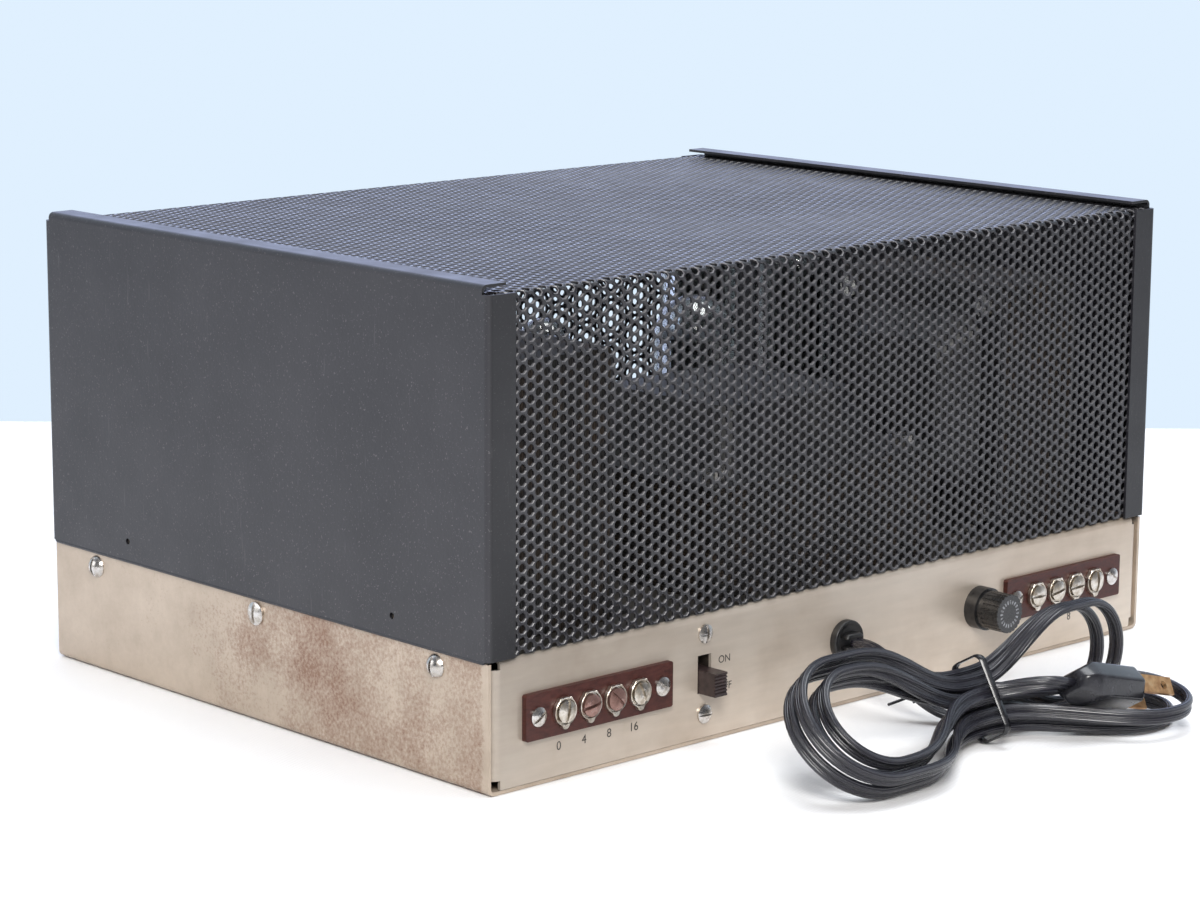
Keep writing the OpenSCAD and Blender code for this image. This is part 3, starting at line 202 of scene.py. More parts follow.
for name, place, size, power, tint in (
        ("key_lamp", (1.25, 1.5, 1.5), 0.9, 44, (1.0, 0.98, 0.95)),
        ("front_lamp", (0.70, 1.03, 0.56), 0.2, 2.4, (1.0, 0.99, 0.97)),
        ("side_lamp", (1.9, -0.9, 0.8), 1.3, 9, (0.96, 0.98, 1.0)),
        ("top_lamp", (-0.3, 0.1, 2.0), 1.6, 34, (0.96, 0.98, 1.0)),
        ("far_lamp", (-1.1, -1.35, 0.62), 2.2, 9, (0.45, 0.48, 1.0))):
    lamp = bpy.data.lights.new(name, "AREA")
    lamp.shape, lamp.size, lamp.energy, lamp.color = "DISK", size, power, tint
    holder = bpy.data.objects.new(name, lamp)
    holder.location = place
    holder.visible_camera = False
    holder.rotation_euler = (Vector((0, 0, 0.07)) - Vector(place)).to_track_quat("-Z", "Y").to_euler()
    bpy.context.scene.collection.objects.link(holder)


# Mains cord: flat twin cord, two ribbed rubber conductors side by side. It drops from the gland
# to the table and is folded into a hank, four folds at each end, squeezed at the waist by a tie.
CORD_W, CORD_T = 5.6, 2.8
HALF_DEPTH, FITTING_Z = 118.5, 23.4
GLAND_FACE = (0, HALF_DEPTH + 5.5, FITTING_Z)
TIE_PLACE, TIE_LEAN = np.array((0, 181.0, 15.0)), 60
ROW_PITCH, COLUMN_PITCH = 6.3, 3.8
FOLDS = (
    (-1, 56, 17.0, 90, 171.5, 18.8, 1), (1, 71, 23.0, 42, 188.0, 18.4, 1.15),
    (-1, 57, 17.5, 0, 194.0, 3.2, 1), (1, 67, 18.0, 42, 188.0, 18.4, 1),
    (-1, 52, 17.5, 90, 182.6, 22.4, 1.2), (1, 71, 23.0, 42, 192.6, 23.6, 1.15),
    (-1, 55.5, 17.5, 8, 203.0, 10.4, 1), (1, 67, 18.0, 42, 192.6, 23.6, 1))
WAIST = ((1.5, -1), (-1.5, -1), (0.5, -1), (-0.5, -1), (1, 0), (-1, 0), (0, 0), (0.1, 1))
HANK_START_X = -34
STRAND_END, PLUG_TURN, PLUG_PITCH, PLUG_LEAN = np.array((-18.0, 199.3, 21.1)), 4, 14, 146


def across(angle):
    return np.array((0, -cos(radians(angle)), sin(radians(angle))))


def facing(angle):
    return np.array((0, sin(radians(angle)), cos(radians(angle))))


def smooth(t):
    return t * t * t * (t * (6 * t - 15) + 10)


def waist_point(strand):
    row, column = WAIST[strand]
    return TIE_PLACE + ROW_PITCH * row * across(TIE_LEAN) + COLUMN_PITCH * column * facing(TIE_LEAN)


def fold_flat(lean):
    flat = facing(lean)
    return flat if flat @ across(TIE_LEAN) >= 0 else -flat


def run_ring(fold, start, rising, t):
    side, reach, radius, lean, y, z, flare = fold
    s = smooth(min(1, t * flare))
    end = np.array((0, y, z)) + rising * radius * across(lean)
    there = start + (end - start) * s
    return ((TIE_PLACE[0] + side * reach * t, there[1], there[2]),
            across(TIE_LEAN) * (1 - s) + fold_flat(lean) * s)


def fold_ring(fold, rising, angle):
    side, reach, radius, lean, y, z, flare = fold
    there = np.array((TIE_PLACE[0] + side * (reach + radius * sin(radians(angle))), y, z))
    return there + rising * radius * cos(radians(angle)) * across(lean), fold_flat(lean)


def through(points, steps):
    p = [np.array(q, float) for q in points]
    p = [2 * p[0] - p[1]] + p + [2 * p[-1] - p[-2]]
    line = []
    for a, b, c, d in zip(p, p[1:], p[2:], p[3:]):
        for t in np.linspace(0, 1, steps, endpoint=False):
            line.append(0.5 * (2 * b + (c - a) * t + (2 * a - 5 * b + 4 * c - d) * t * t
                               + (3 * b - a - 3 * c + d) * t ** 3))
    return line


plug_dir = np.array((-cos(radians(PLUG_TURN)) * cos(radians(PLUG_PITCH)),
                     sin(radians(PLUG_TURN)) * cos(radians(PLUG_PITCH)), -sin(radians(PLUG_PITCH))))
plug_seat = STRAND_END + CORD_W * plug_dir
table_z = FOLDS[0][5] - FOLDS[0][2]
hank_start = np.array((HANK_START_X, FOLDS[0][4], table_z))
lead_line = through(
    [GLAND_FACE, (0, GLAND_FACE[1] + CORD_W, GLAND_FACE[2]), (0, 136, 21.6), (-1, 143, 16), (-3, 149.5, 9),
     (-7, 156, 4), (-12, 162, 2), (-18, 167, table_z), (-26, 170.8, table_z),
     hank_start + (CORD_W, 0, 0), hank_start], 5)
cord_rings = [(q, np.cross(lead_line[min(i + 1, len(lead_line) - 1)] - lead_line[max(i - 1, 0)], (0, 0, 1)))
              for i, q in enumerate(lead_line)]
RUN_STEPS, FOLD_STEPS = 22, 26
for number, fold in enumerate(FOLDS):
    rising = fold[0]
    if number == 0:
        first = fold_ring(fold, rising, 0)[0]
        cord_rings += [(hank_start + (first - hank_start) * k / RUN_STEPS, fold_flat(fold[3]))
                       for k in range(RUN_STEPS)]
    else:
        cord_rings += [run_ring(fold, waist_point(number - 1), rising, k / RUN_STEPS)
                       for k in range(RUN_STEPS)]
    cord_rings += [fold_ring(fold, rising, 180 * k / FOLD_STEPS) for k in range(FOLD_STEPS)]
    cord_rings += [run_ring(fold, waist_point(number), -rising, 1 - k / RUN_STEPS) for k in range(RUN_STEPS)]
last = waist_point(len(WAIST) - 1)
length = TIE_PLACE[0] - STRAND_END[0]
slope = -length * plug_dir / plug_dir[0]
for t in np.linspace(0, 1, 10):
    bend, pull = 3 * t * t - 2 * t ** 3, t ** 3 - t * t
    there = last + (STRAND_END - last) * bend + slope * pull
    cord_rings.append(((TIE_PLACE[0] - length * t, there[1], there[2]),
                       across(TIE_LEAN) * (1 - t) + across(PLUG_LEAN) * t))
cord_rings.append((plug_seat, across(PLUG_LEAN)))

middle = np.array([r[0] for r in cord_rings], float)
width = np.array([r[1] for r in cord_rings], float)
ahead = np.gradient(middle, axis=0)
ahead /= np.linalg.norm(ahead, axis=1)[:, None]
width -= (width * ahead).sum(1)[:, None] * ahead
width /= np.linalg.norm(width, axis=1)[:, None]
for i in range(1, len(width)):
    if width[i] @ width[i - 1] < 0:
        width[i] *= -1
thick = np.cross(ahead, width)
LOBE = CORD_T / 2
lobe_angles = np.radians(np.linspace(-152, 152, 11))
cord_section = [(LOBE + LOBE * cos(a), LOBE * sin(a)) for a in lobe_angles]
cord_section += [(-x, -y) for x, y in cord_section]


def lofted(name, rings, closed_ends=True, around=None):
    rings = np.array(rings)
    count, sides = rings.shape[:2]
    points = rings.reshape(-1, 3) * MM
    faces = []
    for i in range(count - 1):
        low, high = i * sides, (i + 1) * sides
        for k in range(sides):
            after = (k + 1) % sides
            faces.append((low + k, low + after, high + after, high + k))
    if closed_ends:
        faces += [tuple(range(sides))[::-1], tuple(range((count - 1) * sides, count * sides))]
    mesh = bpy.data.meshes.new(name)
    mesh.from_pydata(points.tolist(), [], faces)
    mesh.polygons.foreach_set("use_smooth", [len(f) == 4 for f in faces])
    if around is not None:
        layer = mesh.uv_layers.new(name="along")
        lengthwise = np.concatenate(([0], np.cumsum(np.linalg.norm(np.diff(rings.mean(1), axis=0), axis=1))))
        spots = []
        for i in range(count - 1):
            for k in range(sides):
                spots += [(around[k], lengthwise[i]), (around[k + 1], lengthwise[i]),
                          (around[k + 1], lengthwise[i + 1]), (around[k], lengthwise[i + 1])]
        spots += [(0, 0)] * (2 * sides if closed_ends else 0)
        layer.data.foreach_set("uv", np.array(spots, float).ravel())
    made = bpy.data.objects.new(name, mesh)
    bpy.context.scene.collection.objects.link(made)
    return made


outline = np.array(cord_section + cord_section[:1])
around = np.concatenate(([0], np.cumsum(np.linalg.norm(np.diff(outline, axis=0), axis=1))))
mains_cord = lofted("mains_cord", [[m + x * w + y * v for x, y in cord_section]
                                   for m, w, v in zip(middle, width, thick)], around=around)
cord_rubber, tree, surface = shader("cord_rubber", (0.012, 0.012, 0.015), 0.36, Specular_IOR_Level=0.7)
strip = add(tree, "ShaderNodeUVMap", {"uv_map": "along"}).outputs["UV"]
ribs = add(tree, "ShaderNodeTexWave", {"bands_direction": "X"}, Vector=strip, Scale=0.44, Distortion=0.0)
emboss(tree, surface, ribs.outputs["Color"], 0.6, 0.0003)
lengthwise = add(tree, "ShaderNodeMapping", Vector=strip, Scale=(1, 0.03, 1)).outputs["Vector"]
scuff = noise(tree, lengthwise, 0.9, 3)
paint(tree, surface, ramp(tree, scuff, (0.35, (0.013, 0.0125, 0.018)), (0.75, (0.021, 0.0205, 0.028))),
      ramp(tree, scuff, (0.3, 0.24), (0.8, 0.33)))
mains_cord.data.materials.append(cord_rubber)
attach(mains_cord, "amplifier")
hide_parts("cord_lead", "cord_hank")


# Twist tie: a flat plastic ribbon with a wire in its middle, wound once round the waist of the
# hank. Its two ends are twisted together at the back.
def ribbon_path(half_a, half_b, corner, steps):
    path = []
    for x, y, start in ((1, 1, 0), (-1, 1, 90), (-1, -1, 180), (1, -1, 270)):
        for k in range(steps + 1):
            a = radians(start + 90 * k / steps)
            path.append((x * (half_a - corner) + corner * cos(a), y * (half_b - corner) + corner * sin(a)))
    return path


def mottled(name, colour, rough, metal, scale, colours, roughs=(), detail=4, bump=0.0,
            stretch=(1, 1, 1), **more):
    made, tree, surface = shader(name, colour, rough, metal, **more)
    spots = noise(tree, place_of(tree, stretch), scale, detail)
    paint(tree, surface, ramp(tree, spots, *colours), ramp(tree, spots, *roughs) if roughs else None)
    if bump:
        emboss(tree, surface, spots, bump, 0.0002)
    return made


TIE_HALF_L, TIE_WALL, TIE_CORNER = 1.5, 0.55, 2.9
TIE_INSIDE_A, TIE_INSIDE_B = 13.35, 6.3
TIE_SECTION = ((-1, -0.5), (1, -0.5), (1, 0.3), (0.3, 0.35), (0.22, 0.9), (-0.22, 0.9), (-0.3, 0.35),
               (-1, 0.3))
tie_rings = []
for a, b in ribbon_path(TIE_INSIDE_A + TIE_WALL, TIE_INSIDE_B + TIE_WALL, TIE_CORNER, 6):
    outward = np.array((a / TIE_INSIDE_A, b / TIE_INSIDE_B))
    outward /= np.linalg.norm(outward)
    ring = []
    for x, h in TIE_SECTION:
        pa, pb = np.array((a, b)) + outward * h * TIE_WALL
        there = TIE_PLACE + np.array((x * TIE_HALF_L, 0, 0))
        ring.append(there + pa * across(TIE_LEAN) + pb * facing(TIE_LEAN))
    tie_rings.append(ring)
twist_tie = lofted("twist_tie", tie_rings + tie_rings[:1], closed_ends=False)
TWIST_L, TWIST_SHARE, TWIST_STEPS, END_R = 30, 0.35, 40, 0.5
twist_root = TIE_PLACE - (TIE_INSIDE_B + 1.3) * facing(TIE_LEAN) + 9.35 * across(TIE_LEAN)
twist_dir = np.array((0.987, 0, 0)) - 0.104 * across(TIE_LEAN) - 0.122 * facing(TIE_LEAN)
for side, reach in ((0, TWIST_L), (1, 22)):
    strand = []
    for k in range(TWIST_STEPS + 1):
        t = reach / TWIST_L * k / TWIST_STEPS
        phase = radians(180 * side + 900 * min(t, TWIST_SHARE))
        apart = 0.62 + 2.4 * max(0, t - TWIST_SHARE)
        centre = twist_root + TWIST_L * t * twist_dir
        centre = centre + apart * (cos(phase) * across(TIE_LEAN) + sin(phase) * facing(TIE_LEAN))
        strand.append([centre + END_R * (cos(b) * across(TIE_LEAN) + 0.8 * sin(b) * facing(TIE_LEAN))
                       for b in np.linspace(0, 2 * pi, 8, endpoint=False)])
    twisted_end = lofted(f"twist_tie_end_{side + 1}", strand)
    twisted_end.parent = twist_tie
tie_plastic = mottled("tie_plastic", (0.014, 0.014, 0.016), 0.22, 0.0, 420, (
    (0.4, (0.009, 0.009, 0.011)), (0.75, (0.03, 0.03, 0.034))), detail=3, bump=0.15)
for piece in (twist_tie, *twist_tie.children):
    piece.data.materials.append(tie_plastic)
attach(twist_tie, "amplifier")
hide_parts("cord_tie")


# Plug: a flat body moulded in one piece with its cord grip, and two tarnished brass blades with
# a hole near each tip.
plug_frame = (Matrix.Translation(Vector(plug_seat * MM))
              @ Matrix.Rotation(radians(180 - PLUG_TURN), 4, "Z")
              @ Matrix.Rotation(radians(PLUG_PITCH), 4, "Y")
              @ Matrix.Rotation(radians(PLUG_LEAN - 90), 4, "X"))
PLUG_SECTIONS = (
    (0.0, 4.8, 8.0, 1.6), (0.15, 5.8, 10.0, 2.0), (0.6, 6.8, 12.4, 2.4), (1.3, 7.6, 14.4, 2.7),
    (2.2, 8.4, 16.0, 2.9), (3.5, 9.5, 17.3, 3.0), (5.0, 10.9, 18.1, 3.0), (6.2, 11.9, 18.4, 3.0),
    (7.0, 12.3, 18.5, 3.0), (7.6, 12.5, 18.5, 3.0), (27.9, 12.5, 18.5, 3.0), (28.6, 12.2, 18.2, 3.0),
    (29.0, 11.4, 17.4, 3.0))
PLUG_EDGE = 0.9


def bevelled_section(tall, wide, bevel):
    corners = [(tall / 2, wide / 2 - bevel), (0, wide / 2), (-tall / 2, wide / 2 - bevel),
               (-tall / 2, bevel - wide / 2), (0, -wide / 2), (tall / 2, bevel - wide / 2)]
    spots = []
    for before, corner, after in zip(corners[-1:] + corners[:-1], corners, corners[1:] + corners[:1]):
        corner = np.array(corner)
        start, end = (corner + PLUG_EDGE * (q - corner) / np.linalg.norm(q - corner)
                      for q in (np.array(before), np.array(after)))
        spots += [(1 - t) ** 2 * start + 2 * t * (1 - t) * corner + t * t * end
                  for t in (0, 0.25, 0.5, 0.75, 1)]
    return spots


plug_rings = [[(x, a, b) for a, b in bevelled_section(*section)] for x, *section in PLUG_SECTIONS]
moulded_plug = lofted("moulded_plug", plug_rings)
moulded_plug.data.transform(plug_frame)
plug_plastic, tree, surface = shader("plug_plastic", (0.016, 0.016, 0.019), 0.3)
scuff = noise(tree, place_of(tree), 240, 4)
paint(tree, surface, ramp(tree, scuff, (0.35, (0.012, 0.012, 0.015)), (0.8, (0.032, 0.032, 0.037))),
      ramp(tree, scuff, (0.3, 0.18), (0.8, 0.32)))
emboss(tree, surface, noise(tree, place_of(tree), 900, 2), 0.08, 0.0002)
moulded_plug.data.materials.append(plug_plastic)
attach(moulded_plug, "amplifier")
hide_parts("plug_body")


def coat(material, *names):
    for name in names:
        cad[name].data.materials.clear()
        cad[name].data.materials.append(material)


blade_brass = mottled("blade_brass", (0.55, 0.33, 0.15), 0.38, 0.9, 330, (
    (0.35, (0.42, 0.22, 0.10)), (0.6, (0.68, 0.41, 0.20)), (0.8, (0.75, 0.56, 0.33))),
    ((0.3, 0.55), (0.7, 0.3)))
coat(blade_brass, "plug_blades")


# Cord gland: a black moulded strain relief pressed into the rear panel, a stepped disc with two
# clamping jaws round the flat cord.
GLAND_SEAT = (0, HALF_DEPTH, FITTING_Z)
GLAND_PROFILE = ((6.1, -6), (6.1, 0), (7.1, 0), (7.25, 0.4), (7.25, 2.3), (7.05, 2.75), (6.6, 2.85),
                 (6.2, 2.6), (5.9, 2.2), (4.4, 2.1))
JAW_OUTLINE = ((-4.1, 0.0), (4.1, 0.0), (4.1, 0.7), (3.0, 1.6), (-3.0, 1.6), (-4.1, 0.7))
cord_gland = lofted("cord_gland_moulding", [
    [(GLAND_SEAT[0] + r * cos(a), GLAND_SEAT[1] + h, GLAND_SEAT[2] + r * sin(a))
     for a in np.linspace(0, 2 * pi, 48, endpoint=False)] for r, h in GLAND_PROFILE])
for side, hand in ((1, "upper"), (-1, "lower")):
    jaw = []
    for y, inset in ((2.6, 0), (4.9, 0.1), (5.3, 0.35), (5.5, 0.8)):
        jaw.append([(GLAND_SEAT[0] + x * (1 - inset * 0.1), GLAND_SEAT[1] + y,
                     GLAND_SEAT[2] + side * (1.5 + max(0, z - inset))) for x, z in JAW_OUTLINE[::side]])
    gland_jaw = lofted(f"cord_gland_jaw_{hand}", jaw)
    gland_jaw.parent = cord_gland
gland_plastic = mottled("gland_plastic", (0.012, 0.012, 0.013), 0.4, 0.0, 700, (
    (0.35, (0.009, 0.009, 0.010)), (0.75, (0.022, 0.021, 0.021))), ((0.3, 0.34), (0.7, 0.5)), detail=2)
for piece in (cord_gland, *cord_gland.children):
    piece.data.materials.append(gland_plastic)
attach(cord_gland, "amplifier")
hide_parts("cord_gland")


# Chassis: folded nickel-plated steel, front, top and rear in one sheet. The plating has dulled
# to a warm beige with fine rubbing marks, and the top under the cage is painted dark as shade.
def share_along(tree, axis, low, high):
    where = add(tree, "ShaderNodeSeparateXYZ", Vector=place_of(tree)).outputs[axis]
    return add(tree, "ShaderNodeMapRange", Value=where, From_Min=low, From_Max=high).outputs["Result"]


def normal_along(tree, axis):
    normal = add(tree, "ShaderNodeNewGeometry").outputs["Normal"]
    return add(tree, "ShaderNodeSeparateXYZ", Vector=normal).outputs[axis]


plated_steel, tree, surface = shader("plated_steel", (0.62, 0.54, 0.46), 0.36, 0.35)
spot = place_of(tree)
plating = ramp(tree, noise(tree, spot, 15, 5, 0.6), (0.28, (0.49, 0.395, 0.31)), (0.5, (0.65, 0.56, 0.47)),
               (0.78, (0.76, 0.685, 0.60)))
rubbed = ramp(tree, noise(tree, place_of(tree, (0.12, 1, 1)), 420, 3), (0.3, 0.92), (0.7, 1.0))
darker = ramp(tree, share_along(tree, "X", -0.164, 0.164), (0.0, (0.9, 0.88, 0.85)), (0.35, 1.0),
              (0.65, 0.97), (1.0, 0.66))
# The plating is made darker towards the top, by up to a fifth.
darker_towards_top = ramp(tree, share_along(tree, "Z", 0.004, 0.042), (0.0, 1.0), (1.0, 0.82))
for darkening in (rubbed, darker, darker_towards_top):
    plating = blend(tree, 1.0, plating, darkening, "MULTIPLY")
# Painted shade: faces that look up, the chassis top under the cage, are painted dark brown-grey.
shade_under_cage = ramp(tree, normal_along(tree, "Z"), (0.85, 0.0), (0.98, 1.0))
paint(tree, surface, blend(tree, shade_under_cage, plating, (0.10, 0.09, 0.08)),
      ramp(tree, noise(tree, spot, 60, 4), (0.3, 0.32), (0.75, 0.46)))
emboss(tree, surface, noise(tree, spot, 380, 3), 0.04, 0.0002)
coat(plated_steel, "chassis")


# Bottom cover: a nickel-plated plate with both side plates turned up. The plating of the sides is
# pitted with fine brown rust, thickest in a patch behind the middle screw.
tarnished_steel, tree, surface = shader("tarnished_steel", (0.55, 0.45, 0.36), 0.42, 0.35)
spot = place_of(tree)
damp = ramp(tree, share_along(tree, "Y", -0.118, 0.118), (0.0, 0.0), (0.36, 0.06), (0.5, 0.20),
            (0.6, 0.31), (0.78, 0.33), (0.985, 0.38), (0.999, 0.0))
clouds = noise(tree, spot, 19, 5, 0.62)
pits = noise(tree, spot, 800, 6, 0.75)
rusting = maths(tree, "ADD", maths(tree, "MULTIPLY_ADD", clouds, 1.1, pits), damp)
share = add(tree, "ShaderNodeMapRange", Value=rusting, From_Min=1.26, From_Max=1.62).outputs["Result"]
plating = ramp(tree, noise(tree, spot, 48, 9, 0.72), (0.3, (0.40, 0.322, 0.25)), (0.7, (0.54, 0.448, 0.36)))
paint(tree, surface, blend(tree, share, plating, (0.25, 0.145, 0.10)),
      ramp(tree, share, (0.0, 0.36), (0.8, 0.6)))
emboss(tree, surface, pits, 0.07, 0.0002)
coat(tarnished_steel, "bottom_cover")


# Screws: bright nickel-plated steel, round heads with a sawn slot. Three hold each side plate to
# the chassis and the others hold the rear and front fittings.
bright_screws = mottled("bright_screws", (0.6, 0.58, 0.55), 0.34, 1.0, 480, (
    (0.3, (0.42, 0.38, 0.33)), (0.55, (0.60, 0.57, 0.54)), (0.8, (0.72, 0.70, 0.68))),
    ((0.3, 0.36), (0.65, 0.18)))
coat(bright_screws, "cover_screws", "panel_screws", "output_bolts", "power_transformer_bolts")


# Cage ends: folded steel panels in black satin paint, with dust and fine scratches. Their lower
# edges lap over the side plates, and they lift off with the sheet.
cage_paint, tree, surface = shader("cage_paint", (0.022, 0.021, 0.025), 0.4)
spot = place_of(tree)
peel = noise(tree, spot, 850, 2)
dust = ramp(tree, noise(tree, spot, 1500, 2, 0.4), (0.66, 0.0), (0.72, 0.55))
haze = ramp(tree, noise(tree, spot, 24, 4), (0.3, (0.015, 0.0148, 0.019)), (0.75, (0.026, 0.025, 0.030)))
streak = noise(tree, place_of(tree, (1, 1, 0.08)), 700, 2)
scratch = ramp(tree, streak, (0.70, 0.0), (0.74, 0.25))
marked = blend(tree, dust, blend(tree, scratch, haze, (0.10, 0.095, 0.10)), (0.13, 0.12, 0.125))
# Painted shade: faces that look to the rear are painted darker, down to four tenths.
rear_face_shade = ramp(tree, normal_along(tree, "Y"), (0.8, 1.0), (0.98, 0.4))
paint(tree, surface, blend(tree, 1.0, marked, rear_face_shade, "MULTIPLY"),
      ramp(tree, noise(tree, spot, 70, 3), (0.3, 0.32), (0.75, 0.44)))
emboss(tree, surface, peel, 0.25, 0.0002)
coat(cage_paint, "cage_end_right", "cage_end_left")
LAP_SECTION = ((165.0, 44.0), (165.0, 43.25), (164.85, 42.95), (164.35, 42.95), (164.1, 43.2), (164.1, 44.0))
LAP_STATIONS = ((-117.4, 0.4), (-116.6, 0.0), (116.6, 0.0), (117.4, 0.4))
for side, hand in ((1, "right"), (-1, "left")):
    cage_lap = lofted(f"cage_lap_{hand}", [
        [(side * x, y, min(44.0, z + lift)) for x, z in LAP_SECTION[::side]] for y, lift in LAP_STATIONS])
    cage_lap.data.materials.append(cage_paint)
    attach(cage_lap, "cage")


# Perforated sheet: thin steel with small staggered round holes, painted black, bent over the
# rear, top and front between the cage ends and cut through the holes at the bottom.
HOLE_R, HOLE_COLUMN, HOLE_PITCH, HOLE_ROLL, SHEET_T = 1.5, 3.44, 3.97, 0.28, 0.9
SHEET_HALF_W, SHEET_LOW, SHEET_TOP, SHEET_BEND = 162.9, 44.3, 160.4, 3.0


def brick_pattern():
    outer = [(-1, -1), (1, -1), (1, 0), (1, 1), (-1, 1), (-1, 0)]
    outer_angles = [atan2(y * HOLE_PITCH, x * HOLE_COLUMN) % (2 * pi) for x, y in outer]
    inner_angles = [radians(22.5 + 45 * k) for k in range(8)]
    events = [(a, 0, i) for i, a in enumerate(outer_angles)]
    events += [(a, 1, i) for i, a in enumerate(inner_angles)]
    last_outer = max(range(6), key=lambda i: outer_angles[i])
    last_inner, triangles = 7, []
    for _, kind, i in sorted(events):
        if kind == 0:
            triangles.append((last_outer, i, 6 + last_inner))
            last_outer = i
        else:
            triangles.append((last_outer, 6 + i, 6 + last_inner))
            last_inner = i
    return triangles, [(cos(a), sin(a)) for a in inner_angles]


# One brick of sheet stands round each hole, and every other column is half a pitch along. The
# columns start right at a seam, where two halves meet, and elsewhere the sheet has a plain edge.
def perforated_sheet(name, u0, u1, v0, v1, place, seam=None):
    columns = int((u1 - u0) / HOLE_COLUMN)
    halves = round(2 * (v1 - v0) / HOLE_PITCH)
    first_u = u0 if seam == u0 else u1 - columns * HOLE_COLUMN if seam == u1 else (
        (u0 + u1 - columns * HOLE_COLUMN) / 2)
    us = first_u + HOLE_COLUMN * np.arange(columns + 1)
    bare = [False] * columns
    if seam != u0:
        us, bare = np.concatenate(([u0], us)), [True] + bare
    if seam != u1:
        us, bare = np.concatenate((us, [u1])), bare + [True]
    vs = np.linspace(v0, v1, halves + 1)
    across_v = halves + 1
    flat = [(u, v) for u in us for v in vs]
    triangles, circle = brick_pattern()
    half_circle = [(circle[0][0], 0.0), *circle[:4], (circle[3][0], 0.0)]
    faces, backs, walls, edges, rims, rolled = [], [], [], [], [], []
    for i in range(len(us) - 1):
        cut_low = cut_high = False
        k = 0
        while k < halves:
            corner = i * across_v + k
            quad = (corner, corner + across_v, corner + across_v + 1, corner + 1)
            middle_u = (us[i] + us[i + 1]) / 2
            first = len(flat)
            if bare[i]:
                faces.append(quad)
                backs.append(quad[::-1])
                k += 1
            elif (k == 0 and i % 2 == 0) or k == halves - 1:
                turn = 1 if k == 0 else -1
                cut_low, cut_high = cut_low or k == 0, k > 0
                centre = (middle_u, vs[k] if k == 0 else vs[k + 1])
                for r in (HOLE_R, HOLE_R + HOLE_ROLL):
                    flat += [(centre[0] + turn * r * x, centre[1] + turn * r * y) for x, y in half_circle]
                inner, outer = list(range(first, first + 6)), list(range(first + 6, first + 12))
                a, b, c, d = quad[1:] + quad[:1] if k == 0 else quad[3:] + quad[:3]
                for p, side in ((outer, faces), (inner, backs)):
                    patch = [(p[0], a, b, p[1]), (p[1], b, p[2]), (p[2], b, c, p[3]), (p[3], c, p[4]),
                             (p[4], c, d, p[5])]
                    side += patch if side is faces else [f[::-1] for f in patch]
                rolled += range(len(faces), len(faces) + 5)
                faces += [(outer[n], outer[n + 1], inner[n + 1], inner[n]) for n in range(5)]
                walls += [(inner[n], inner[n + 1], centre) for n in range(5)]
                edges += inner
                rims += [((inner[5], outer[5], d), (d, inner[5])), ((a, outer[0], inner[0]), (inner[0], a))]
                k += 1
            else:
                ring = [*quad[:3], quad[2] + 1, quad[3] + 1, quad[3]]
                centre = (middle_u, vs[k + 1])
                for r in (HOLE_R, HOLE_R + HOLE_ROLL):
                    flat += [(centre[0] + r * x, centre[1] + r * y) for x, y in circle]
                inner, outer = list(range(first, first + 8)), list(range(first + 8, first + 16))
                faces += [tuple((ring + outer)[n] for n in t) for t in triangles]
                backs += [tuple((ring + inner)[n] for n in t)[::-1] for t in triangles]
                rolled += range(len(faces), len(faces) + 8)
                for n in range(8):
                    after = (n + 1) % 8
                    faces.append((outer[n], outer[after], inner[after], inner[n]))
                    walls.append((inner[n], inner[after], centre))
                edges += inner
                k += 2
        low, high = i * across_v, i * across_v + halves
        if not cut_low:
            rims.append(((low + across_v, low), (low, low + across_v)))
        if not cut_high:
            rims.append(((high, high + across_v), (high + across_v, high)))
    last_column = (len(us) - 1) * across_v
    for k in range(halves):
        rims.append(((last_column + k + 1, last_column + k), (last_column + k, last_column + k + 1)))
        rims.append(((k, k + 1), (k + 1, k)))
    flat = np.array(flat)
    count = len(flat)
    height = np.full(count, 0.5 * SHEET_T)
    height[edges] -= HOLE_ROLL
    points = np.concatenate([place(flat[:, 0], flat[:, 1], w) for w in (height, -0.5 * SHEET_T)])
    every = list(faces) + [tuple(count + n for n in f) for f in backs]
    every += [(a, b, count + b, count + a) for a, b, _ in walls]
    every += [(*front, *(count + n for n in back)) for front, back in rims]
    used = np.unique([n for f in every for n in f])
    number = np.zeros(2 * count, int)
    number[used] = np.arange(len(used))
    mesh = bpy.data.meshes.new(name)
    mesh.from_pydata((points[used] * MM).tolist(), [], [tuple(number[list(f)].tolist()) for f in every])
    spread = (flat - (u0, v0)) / (u1 - u0, v1 - v0)
    left = np.stack((0.005 + 0.49 * spread[:, 0], 0.005 + 0.99 * spread[:, 1]), 1)
    right_half = left + (0.5, 0)
    spots = [left[n] for f in faces for n in f] + [right_half[n] for f in backs for n in f]
    shrink = np.array((0.49 / (u1 - u0), 0.99 / (v1 - v0)))
    for a, b, centre in walls:
        inner = [left[n] - 0.45 * (flat[n] - centre) * shrink for n in (a, b)]
        spots += [left[a], left[b], inner[1], inner[0]]
    spots += [(0.002, 0.002)] * sum(len(front) + len(back) for front, back in rims)
    edge_faces = np.zeros(len(every))
    edge_faces[rolled + list(range(len(faces + backs), len(every)))] = 1
    punched = mesh.attributes.new("punched", "FLOAT", "FACE")
    punched.data.foreach_set("value", edge_faces)
    layer = mesh.uv_layers.new(name="OFBake")
    layer.data.foreach_set("uv", np.array(spots, float).ravel())
    made = bpy.data.objects.new(name, mesh)
    bpy.context.scene.collection.objects.link(made)
    return made


def bent_over(v, w):
    radius = SHEET_BEND - SHEET_T / 2
    straight = SHEET_TOP - SHEET_BEND
    turn = np.clip((v - straight) / radius, 0, pi / 2)
    out = HALF_DEPTH - SHEET_BEND + (radius + w) * np.cos(turn)
    return out, np.minimum(v, straight) + (radius + w) * np.sin(turn)


